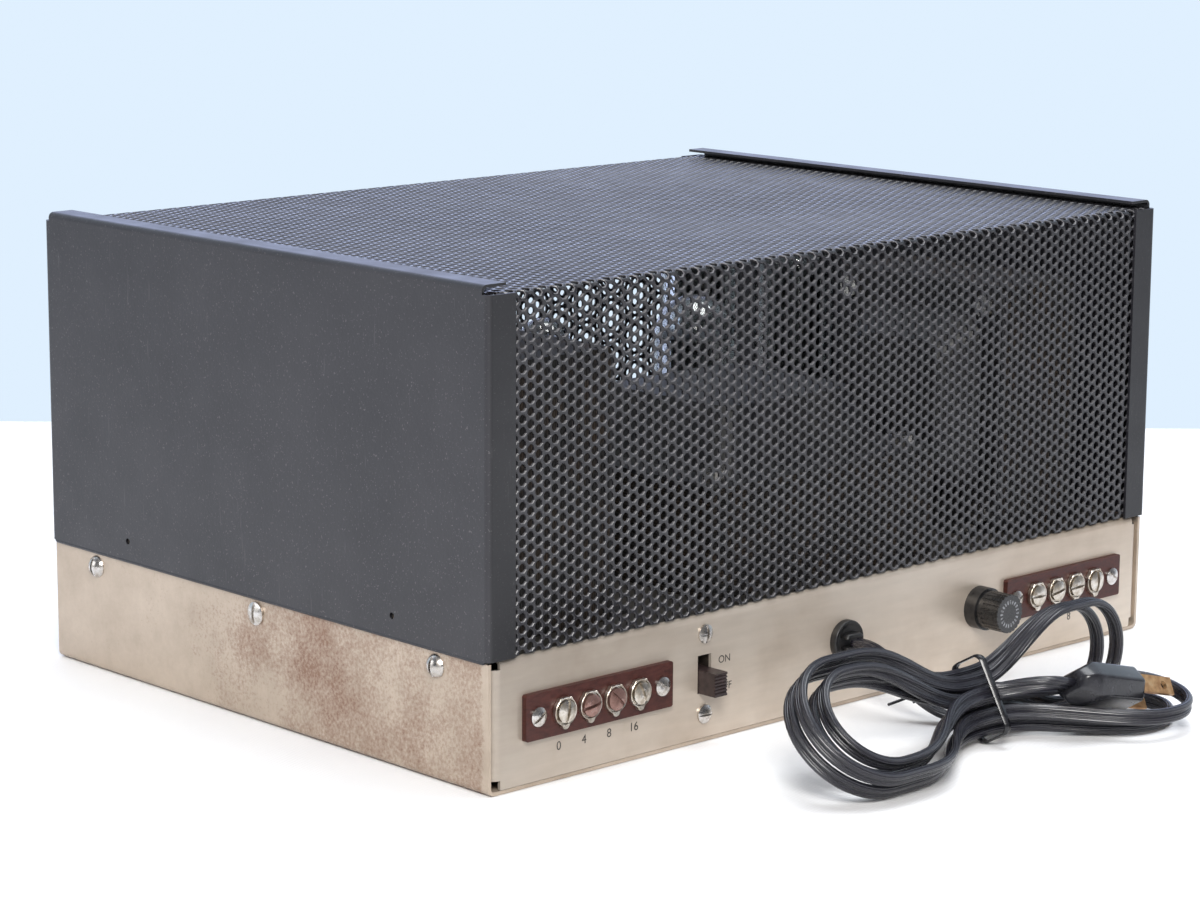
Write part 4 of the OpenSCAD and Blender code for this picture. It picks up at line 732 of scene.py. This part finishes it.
def rear_place(u, v, w):
    out, z = bent_over(v, w)
    return np.stack((-u, out, z), 1)


def front_place(u, v, w):
    out, z = bent_over(v, w)
    return np.stack((u, -out, z), 1)


def top_place(u, v, w):
    half = HALF_DEPTH - SHEET_BEND
    hold = np.clip(1 - (u / SHEET_HALF_W) ** 6, 0, 1) * np.clip(1 - (v / half) ** 6, 0, 1)
    dent = -1.1 * np.exp(-((u + 30) / 70) ** 2 - ((v - 35) / 45) ** 2) - 0.8 * np.exp(
        -((u - 75) / 40) ** 2 - ((v + 20) / 60) ** 2) + 0.35 * np.sin(u / 29) * np.cos(v / 33)
    return np.stack((u, v, SHEET_TOP - SHEET_T / 2 + w + hold * dent), 1)


bent_height = SHEET_TOP - SHEET_BEND + (SHEET_BEND - SHEET_T / 2) * pi / 2
top_half = HALF_DEPTH - SHEET_BEND


def sheet_finish(name, lip_highlight):
    made, tree, surface = shader(name, (0.014, 0.0135, 0.017), 0.3)
    spot = place_of(tree)
    dull = ramp(tree, noise(tree, spot, 45, 5, 0.65), (0.35, (0.011, 0.0107, 0.0135)),
                (0.7, (0.025, 0.0243, 0.0285)))
    specks = ramp(tree, noise(tree, spot, 1400, 2), (0.66, 0.0), (0.74, 0.4))
    speckled = blend(tree, specks, dull, (0.15, 0.13, 0.12))
    punched = add(tree, "ShaderNodeAttribute", {"attribute_name": "punched"}).outputs["Fac"]
    # Painted highlight: the upward-facing lips and walls of the holes are painted light grey as glints,
    # strongly on the rear and front sheets and faintly on the top.
    upward_lip_highlight = ramp(tree, normal_along(tree, "Z"), (0.2, 0.0), (0.55, lip_highlight))
    painted_lip_highlight = blend(tree, 1.0, upward_lip_highlight, punched, "MULTIPLY")
    paint(tree, surface, blend(tree, painted_lip_highlight, speckled, (0.18, 0.175, 0.185)),
          ramp(tree, noise(tree, spot, 90, 3), (0.3, 0.22), (0.75, 0.34)))
    return made


side_span = (-SHEET_HALF_W, SHEET_HALF_W, SHEET_LOW, bent_height)
right_span, left_span = (0, SHEET_HALF_W, -top_half, top_half), (-SHEET_HALF_W, 0, -top_half, top_half)
side_paint, top_paint = sheet_finish("sheet_paint_sides", 0.6), sheet_finish("sheet_paint_top", 0.1)
for name, node, span, place, seam, finish in (
        ("perforated_rear", "mesh_rear", side_span, rear_place, None, side_paint),
        ("perforated_front", "mesh_front", side_span, front_place, None, side_paint),
        ("perforated_top_right", "mesh_top", right_span, top_place, 0, top_paint),
        ("perforated_top_left", "mesh_top", left_span, top_place, 0, top_paint)):
    sheet = perforated_sheet(name, *span, place, seam)
    sheet.data.materials.append(finish)
    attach(sheet, "cage")
    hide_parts(node)


# Loudspeaker terminals: two dark red-brown phenolic strips, each with four cupped plates and
# round-headed screws. Two of the screws have worn to copper.
strip_phenolic = mottled("strip_phenolic", (0.05, 0.016, 0.010), 0.4, 0.0, 420, (
    (0.3, (0.036, 0.010, 0.008)), (0.7, (0.075, 0.022, 0.017))), ((0.3, 0.3), (0.7, 0.48)), bump=0.1,
    stretch=(1, 1, 3), Specular_IOR_Level=0.3)
coat(strip_phenolic, "terminal_strip_right", "terminal_strip_left")
terminal_metal = mottled("terminal_metal", (0.62, 0.57, 0.5), 0.3, 1.0, 430, (
    (0.3, (0.36, 0.30, 0.23)), (0.55, (0.62, 0.57, 0.50)), (0.8, (0.76, 0.73, 0.68))),
    ((0.3, 0.46), (0.7, 0.22)))
coat(terminal_metal, *(f"terminal_screw_{n}" for n in (1, 4, 5, 6, 7, 8)))
STRIP_X, STRIP_T, TERMINAL_PITCH = 117.4, 2.0, 11.1
CUP_SIDES, CUP_R = 72, 4.65
CUP_PROFILE = ((0, 1.85, 0.0), (1, -0.1, 0.0), (1, 0.0, 0.15), (1, 0.0, 1.5), (1, -0.15, 1.65),
               (0, 4.25, 1.6), (0, 4.05, 0.9), (0, 1.85, 0.8))
CUP_TABS = ((62, 6, 0.45), (118, 6, 0.45), (270, 13, 1.2))
cup_angles = np.linspace(0, 360, CUP_SIDES, endpoint=False)
cup_edge = CUP_R + sum(size * np.clip(1.6 - np.abs(cup_angles - at) / wide, 0, 1)
                       for at, wide, size in CUP_TABS)
for side, hand in ((1, "right"), (-1, "left")):
    cups = bmesh.new()
    for n in range(4):
        middle_x = side * STRIP_X + (1.5 - n) * TERMINAL_PITCH
        loops = []
        for outer, r, h in CUP_PROFILE:
            reach = cup_edge + r if outer else np.full(CUP_SIDES, r)
            loops.append([cups.verts.new((MM * (middle_x + q * cos(radians(a))),
                                          MM * (HALF_DEPTH + STRIP_T + h),
                                          MM * (FITTING_Z + q * sin(radians(a)))))
                          for q, a in zip(reach, cup_angles)])
        for one, two in zip(loops, loops[1:] + loops[:1]):
            for k in range(CUP_SIDES):
                after = (k + 1) % CUP_SIDES
                cups.faces.new((one[k], two[k], two[after], one[after]))
    bmesh.ops.recalc_face_normals(cups, faces=cups.faces)
    mesh = bpy.data.meshes.new(f"terminal_cups_{hand}")
    cups.to_mesh(mesh)
    cups.free()
    mesh.materials.append(terminal_metal)
    terminal_cups = bpy.data.objects.new(f"terminal_cups_{hand}", mesh)
    bpy.context.scene.collection.objects.link(terminal_cups)
    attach(terminal_cups, "amplifier")
    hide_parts(f"terminal_plates_{hand}")
worn_copper = mottled("worn_copper", (0.34, 0.17, 0.13), 0.38, 0.7, 400, (
    (0.3, (0.19, 0.105, 0.085)), (0.6, (0.31, 0.185, 0.16)), (0.8, (0.46, 0.36, 0.33))),
    ((0.3, 0.44), (0.7, 0.22)))
coat(worn_copper, "terminal_screw_2", "terminal_screw_3")


# Lettering: plain numbers under the terminals and ON and OFF beside the power switch, printed in
# dark ink on the rear panel.
panel_ink = mottled("panel_ink", (0.03, 0.028, 0.026), 0.6, 0.0, 900, (
    (0.35, (0.022, 0.020, 0.018)), (0.8, (0.09, 0.08, 0.07))), detail=3)
SWITCH_X, NUMBERS_Z, PRINT_Y = 68.3, 11.2, HALF_DEPTH + 0.04
prints = [(text, side * STRIP_X + (1.5 - n) * TERMINAL_PITCH, NUMBERS_Z, 3.0)
          for side in (1, -1) for n, text in enumerate(("0", "4", "8", "16"))]
prints += [("ON", SWITCH_X - 9.4, 26.9, 2.6), ("OFF", SWITCH_X - 9.8, 17.4, 2.6)]
for n, (text, x, z, size) in enumerate(prints):
    curve = bpy.data.curves.new(f"print_{n + 1}_curve", "FONT")
    curve.body, curve.size, curve.extrude = text, size * 1.4 * MM, 0.00003
    curve.align_x, curve.align_y = "CENTER", "CENTER"
    draft = bpy.data.objects.new(f"print_{n + 1}_draft", curve)
    mesh = bpy.data.meshes.new_from_object(draft)
    bpy.data.objects.remove(draft)
    letters = bpy.data.objects.new(f"print_{n + 1}", mesh)
    mesh.transform(Matrix(((-1, 0, 0, x * MM), (0, 0, 1, PRINT_Y * MM), (0, 1, 0, z * MM), (0, 0, 0, 1))))
    mesh.materials.clear()
    mesh.materials.append(panel_ink)
    bpy.context.scene.collection.objects.link(letters)
    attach(letters, "amplifier")


# Slide switches: phenolic bodies behind the panels with black moulded knobs in their slots, one
# for the mains at the rear and one for the input mode at the front.
switch_phenolic = mottled("switch_phenolic", (0.03, 0.024, 0.02), 0.45, 0.0, 300, (
    (0.3, (0.020, 0.016, 0.013)), (0.75, (0.060, 0.046, 0.036))), bump=0.1)
coat(switch_phenolic, "power_switch_body", "mode_switch_body")
knob_plastic = mottled("knob_plastic", (0.03, 0.019, 0.018), 0.34, 0.0, 380, (
    (0.35, (0.022, 0.014, 0.014)), (0.75, (0.055, 0.036, 0.034))), ((0.3, 0.28), (0.75, 0.46)))
coat(knob_plastic, "power_switch_knob", "mode_switch_knob")


# Fuse holder: a black bayonet holder with a knurled cap, which has a ring of worn silver marks
# printed on its end, and a glass cartridge fuse with nickel ends inside.
HANDLED_BLACK = ((0.35, (0.009, 0.009, 0.010)), (0.75, (0.028, 0.027, 0.027)))
fuse_plastic = mottled("fuse_plastic", (0.012, 0.012, 0.013), 0.32, 0.0, 420, HANDLED_BLACK,
                       ((0.3, 0.26), (0.75, 0.46)))
coat(fuse_plastic, "fuse_holder")
cap_low, cap_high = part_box("fuse_cap")
CAP_MARKS, CAP_R = 20, 7
cap_middle = tuple((a + b) / 2 for a, b in zip(cap_low, cap_high))
cap_plastic, tree, surface = shader("cap_plastic", (0.012, 0.012, 0.013), 0.25)
from_middle = add(tree, "ShaderNodeVectorMath", {"operation": "SUBTRACT"}, _0=place_of(tree), _1=cap_middle)
from_axis = add(tree, "ShaderNodeVectorMath", {"operation": "MULTIPLY"}, _0=from_middle.outputs["Vector"],
                _1=(1, 0, 1)).outputs["Vector"]
radius = add(tree, "ShaderNodeVectorMath", {"operation": "LENGTH"}, _0=from_axis).outputs["Value"]
spread = add(tree, "ShaderNodeMapRange", Value=radius, From_Max=CAP_R * MM).outputs["Result"]
ring = ramp(tree, spread, (0.50, 0.0), (0.53, 1.0), (0.70, 1.0), (0.73, 0.0))
aside_up = add(tree, "ShaderNodeSeparateXYZ", Vector=from_axis).outputs
angle = maths(tree, "ARCTAN2", aside_up["Z"], aside_up["X"])
within = maths(tree, "FRACT", maths(tree, "MULTIPLY", angle, CAP_MARKS / (2 * pi)))
handled = noise(tree, place_of(tree), 420, 4)
marks = ring
for share in (ramp(tree, within, (0.0, 1.0), (0.42, 1.0), (0.5, 0.0)),
              ramp(tree, noise(tree, place_of(tree), 900, 3), (0.38, 0.15), (0.6, 0.8)),
              ramp(tree, normal_along(tree, "Y"), (0.9, 0.0), (0.97, 1.0))):
    marks = blend(tree, 1.0, marks, share, "MULTIPLY")
paint(tree, surface, blend(tree, marks, ramp(tree, handled, *HANDLED_BLACK), (0.42, 0.43, 0.46)),
      ramp(tree, handled, (0.3, 0.2), (0.75, 0.36)))
coat(cap_plastic, "fuse_cap")
fuse_glass, tree, surface = shader("fuse_glass", (0.75, 0.76, 0.72), 0.15, 0.3)
FUSE_NICKEL, FUSE_GLASS = (0.62, 0.60, 0.56), (0.80, 0.84, 0.82)
whole = add(tree, "ShaderNodeTexCoord").outputs["Generated"]
ends = add(tree, "ShaderNodeSeparateXYZ", Vector=whole).outputs["Y"]
paint(tree, surface, ramp(tree, ends, (0.0, FUSE_NICKEL), (0.2, FUSE_NICKEL), (0.21, FUSE_GLASS),
                          (0.79, FUSE_GLASS), (0.8, FUSE_NICKEL)))
coat(fuse_glass, "fuse")


# Input jacks: nickel-plated brass shells with hexagon flanges, two of them fixed in the front
# panel.
jack_metal = mottled("jack_metal", (0.66, 0.6, 0.5), 0.28, 1.0, 360, (
    (0.3, (0.45, 0.37, 0.26)), (0.6, (0.67, 0.62, 0.53)), (0.8, (0.76, 0.73, 0.67))),
    ((0.3, 0.42), (0.7, 0.22)))
coat(jack_metal, "input_jacks")


# Octal sockets: dark brown phenolic wafers, five for tubes on the top and two for accessories on
# the front. Eight plated contacts show in each front one.
socket_phenolic = mottled("socket_phenolic", (0.03, 0.018, 0.013), 0.4, 0.0, 320, (
    (0.3, (0.020, 0.012, 0.009)), (0.75, (0.055, 0.034, 0.024))), bump=0.1)
coat(socket_phenolic, "octal_sockets", "accessory_sockets", "octal_bases")
ACCESSORY_X, SOCKET_FACE, CONTACT_CIRCLE, CONTACT_SIDES = 85, -119.5, 8.7, 16
CONTACT_PROFILE = ((1.9, 0.0), (1.9, 0.25), (1.6, 0.4), (1.25, 0.3), (1.2, -0.2))
contact_angles = np.linspace(0, 2 * pi, CONTACT_SIDES, endpoint=False)
for side, hand in ((1, "right"), (-1, "left")):
    contact_rings = bmesh.new()
    for k in range(8):
        a = radians(22.5 + 45 * k)
        x, z = side * ACCESSORY_X + CONTACT_CIRCLE * cos(a), FITTING_Z + CONTACT_CIRCLE * sin(a)
        loops = []
        for r, h in CONTACT_PROFILE:
            loops.append([contact_rings.verts.new((MM * (x + r * cos(b)), MM * (SOCKET_FACE - h),
                                                   MM * (z + r * sin(b)))) for b in contact_angles])
        for one, two in zip(loops, loops[1:]):
            for n in range(CONTACT_SIDES):
                after = (n + 1) % CONTACT_SIDES
                contact_rings.faces.new((one[n], two[n], two[after], one[after]))
    mesh = bpy.data.meshes.new(f"socket_contacts_{hand}")
    bmesh.ops.recalc_face_normals(contact_rings, faces=contact_rings.faces)
    contact_rings.to_mesh(mesh)
    contact_rings.free()
    contacts = bpy.data.objects.new(f"socket_contacts_{hand}", mesh)
    bpy.context.scene.collection.objects.link(contacts)
    mesh.materials.append(jack_metal)
    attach(contacts, "amplifier")


# Transformers: stacked steel laminations with black painted bells, bolted through. The power
# transformer lies flat, and the output transformers stand on their ends.
def laminations(name, bands):
    made, tree, surface = shader(name, (0.06, 0.056, 0.052), 0.5, 0.5)
    spot = place_of(tree)
    sheets = add(tree, "ShaderNodeTexWave", {"bands_direction": bands}, Vector=spot, Scale=320,
                 Distortion=0.4).outputs["Color"]
    rust = ramp(tree, noise(tree, spot, 130, 5), (0.45, (0.045, 0.042, 0.040)), (0.75, (0.11, 0.075, 0.05)))
    paint(tree, surface, blend(tree, 0.55, rust, sheets, "MULTIPLY"))
    emboss(tree, surface, sheets, 0.4, 0.0004)
    return made


coat(laminations("laminations_flat", "Z"), "power_transformer_core")
coat(laminations("laminations_upright", "X"), "output_core_right", "output_core_left")
bell_paint, tree, surface = shader("bell_paint", (0.02, 0.02, 0.022), 0.35)
spot = place_of(tree)
glossy = ramp(tree, noise(tree, spot, 60, 4), (0.3, (0.014, 0.014, 0.016)), (0.75, (0.045, 0.043, 0.042)))
paint(tree, surface, glossy, ramp(tree, noise(tree, spot, 120, 3), (0.3, 0.3), (0.75, 0.5)))
emboss(tree, surface, noise(tree, spot, 800, 2), 0.1, 0.0002)
coat(bell_paint, "power_transformer_bell", "output_bells_right", "output_bells_left", "filter_choke")


# Filter capacitor: a drawn aluminium can, upright on the chassis top between the power
# transformer and the driver board.
capacitor_can = mottled("capacitor_can", (0.6, 0.6, 0.6), 0.4, 1.0, 260, (
    (0.3, (0.46, 0.46, 0.45)), (0.7, (0.68, 0.68, 0.67))), ((0.3, 0.5), (0.7, 0.34)), detail=3,
    stretch=(1, 1, 0.05))
coat(capacitor_can, "filter_capacitor")


# Tubes: blown glass envelopes on brown phenolic bases, with grey plate assemblies inside and a
# silvery getter film under the top of each.
def envelope_glass(name, low, high):
    made, tree, surface = shader(name, (0.96, 0.98, 0.97), 0.03, 0.0, Transmission_Weight=1.0, IOR=1.48)
    getter = ramp(tree, share_along(tree, "Z", low, high), (0.0, 0.0), (1.0, 0.75))
    tree.links.new(getter, surface.inputs["Metallic"])
    paint(tree, surface, blend(tree, getter, (0.96, 0.98, 0.97), (0.20, 0.19, 0.18)),
          ramp(tree, noise(tree, place_of(tree), 200, 3), (0.3, 0.02), (0.8, 0.09)))
    return made


FILM_SHARE = 0.1
for name, share in (("power_tube_glass", 0.86), ("rectifier_glass", 0.88), ("driver_tube_glass", 0.84)):
    low_corner, high_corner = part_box(name)
    low, tall = low_corner[2], high_corner[2] - low_corner[2]
    coat(envelope_glass(name + "_film", low + share * tall, low + (share + FILM_SHARE) * tall), name)
tube_plate = mottled("tube_plate", (0.09, 0.09, 0.092), 0.5, 0.6, 260, (
    (0.3, (0.05, 0.05, 0.052)), (0.75, (0.14, 0.14, 0.14))))
coat(tube_plate, "power_tube_plates", "rectifier_plates", "driver_tube_plates")


# Driver board: a brown phenolic board with ceramic sockets, brown film capacitors and banded
# resistors.
board_phenolic = mottled("board_phenolic", (0.2, 0.1, 0.045), 0.45, 0.0, 170, (
    (0.3, (0.15, 0.075, 0.033)), (0.75, (0.25, 0.135, 0.065))))
coat(board_phenolic, "driver_board")
small_parts, tree, surface = shader("small_parts", (0.3, 0.12, 0.05), 0.35)
bands = add(tree, "ShaderNodeTexWave", {"bands_direction": "X"}, Vector=place_of(tree), Scale=120,
            Distortion=0.0).outputs["Color"]
paint(tree, surface, ramp(tree, bands, (0.2, (0.30, 0.13, 0.055)), (0.72, (0.22, 0.10, 0.05)),
                          (0.8, (0.55, 0.30, 0.06)), (0.95, (0.05, 0.03, 0.02))))
coat(small_parts, "board_components")
noval_ceramic = mottled("noval_ceramic", (0.6, 0.56, 0.47), 0.4, 0.0, 240, (
    (0.3, (0.52, 0.47, 0.38)), (0.75, (0.68, 0.64, 0.55))), detail=3)
coat(noval_ceramic, "noval_sockets")


# Bias controls: two potentiometers under the chassis top, with slotted plated shafts standing out
# of their bushes.
pot_metal = mottled("pot_metal", (0.52, 0.5, 0.45), 0.35, 0.95, 380, (
    (0.3, (0.38, 0.35, 0.30)), (0.75, (0.62, 0.60, 0.55))), ((0.3, 0.44), (0.7, 0.26)))
coat(pot_metal, "bias_pots", "bias_shaft_right", "bias_shaft_left")
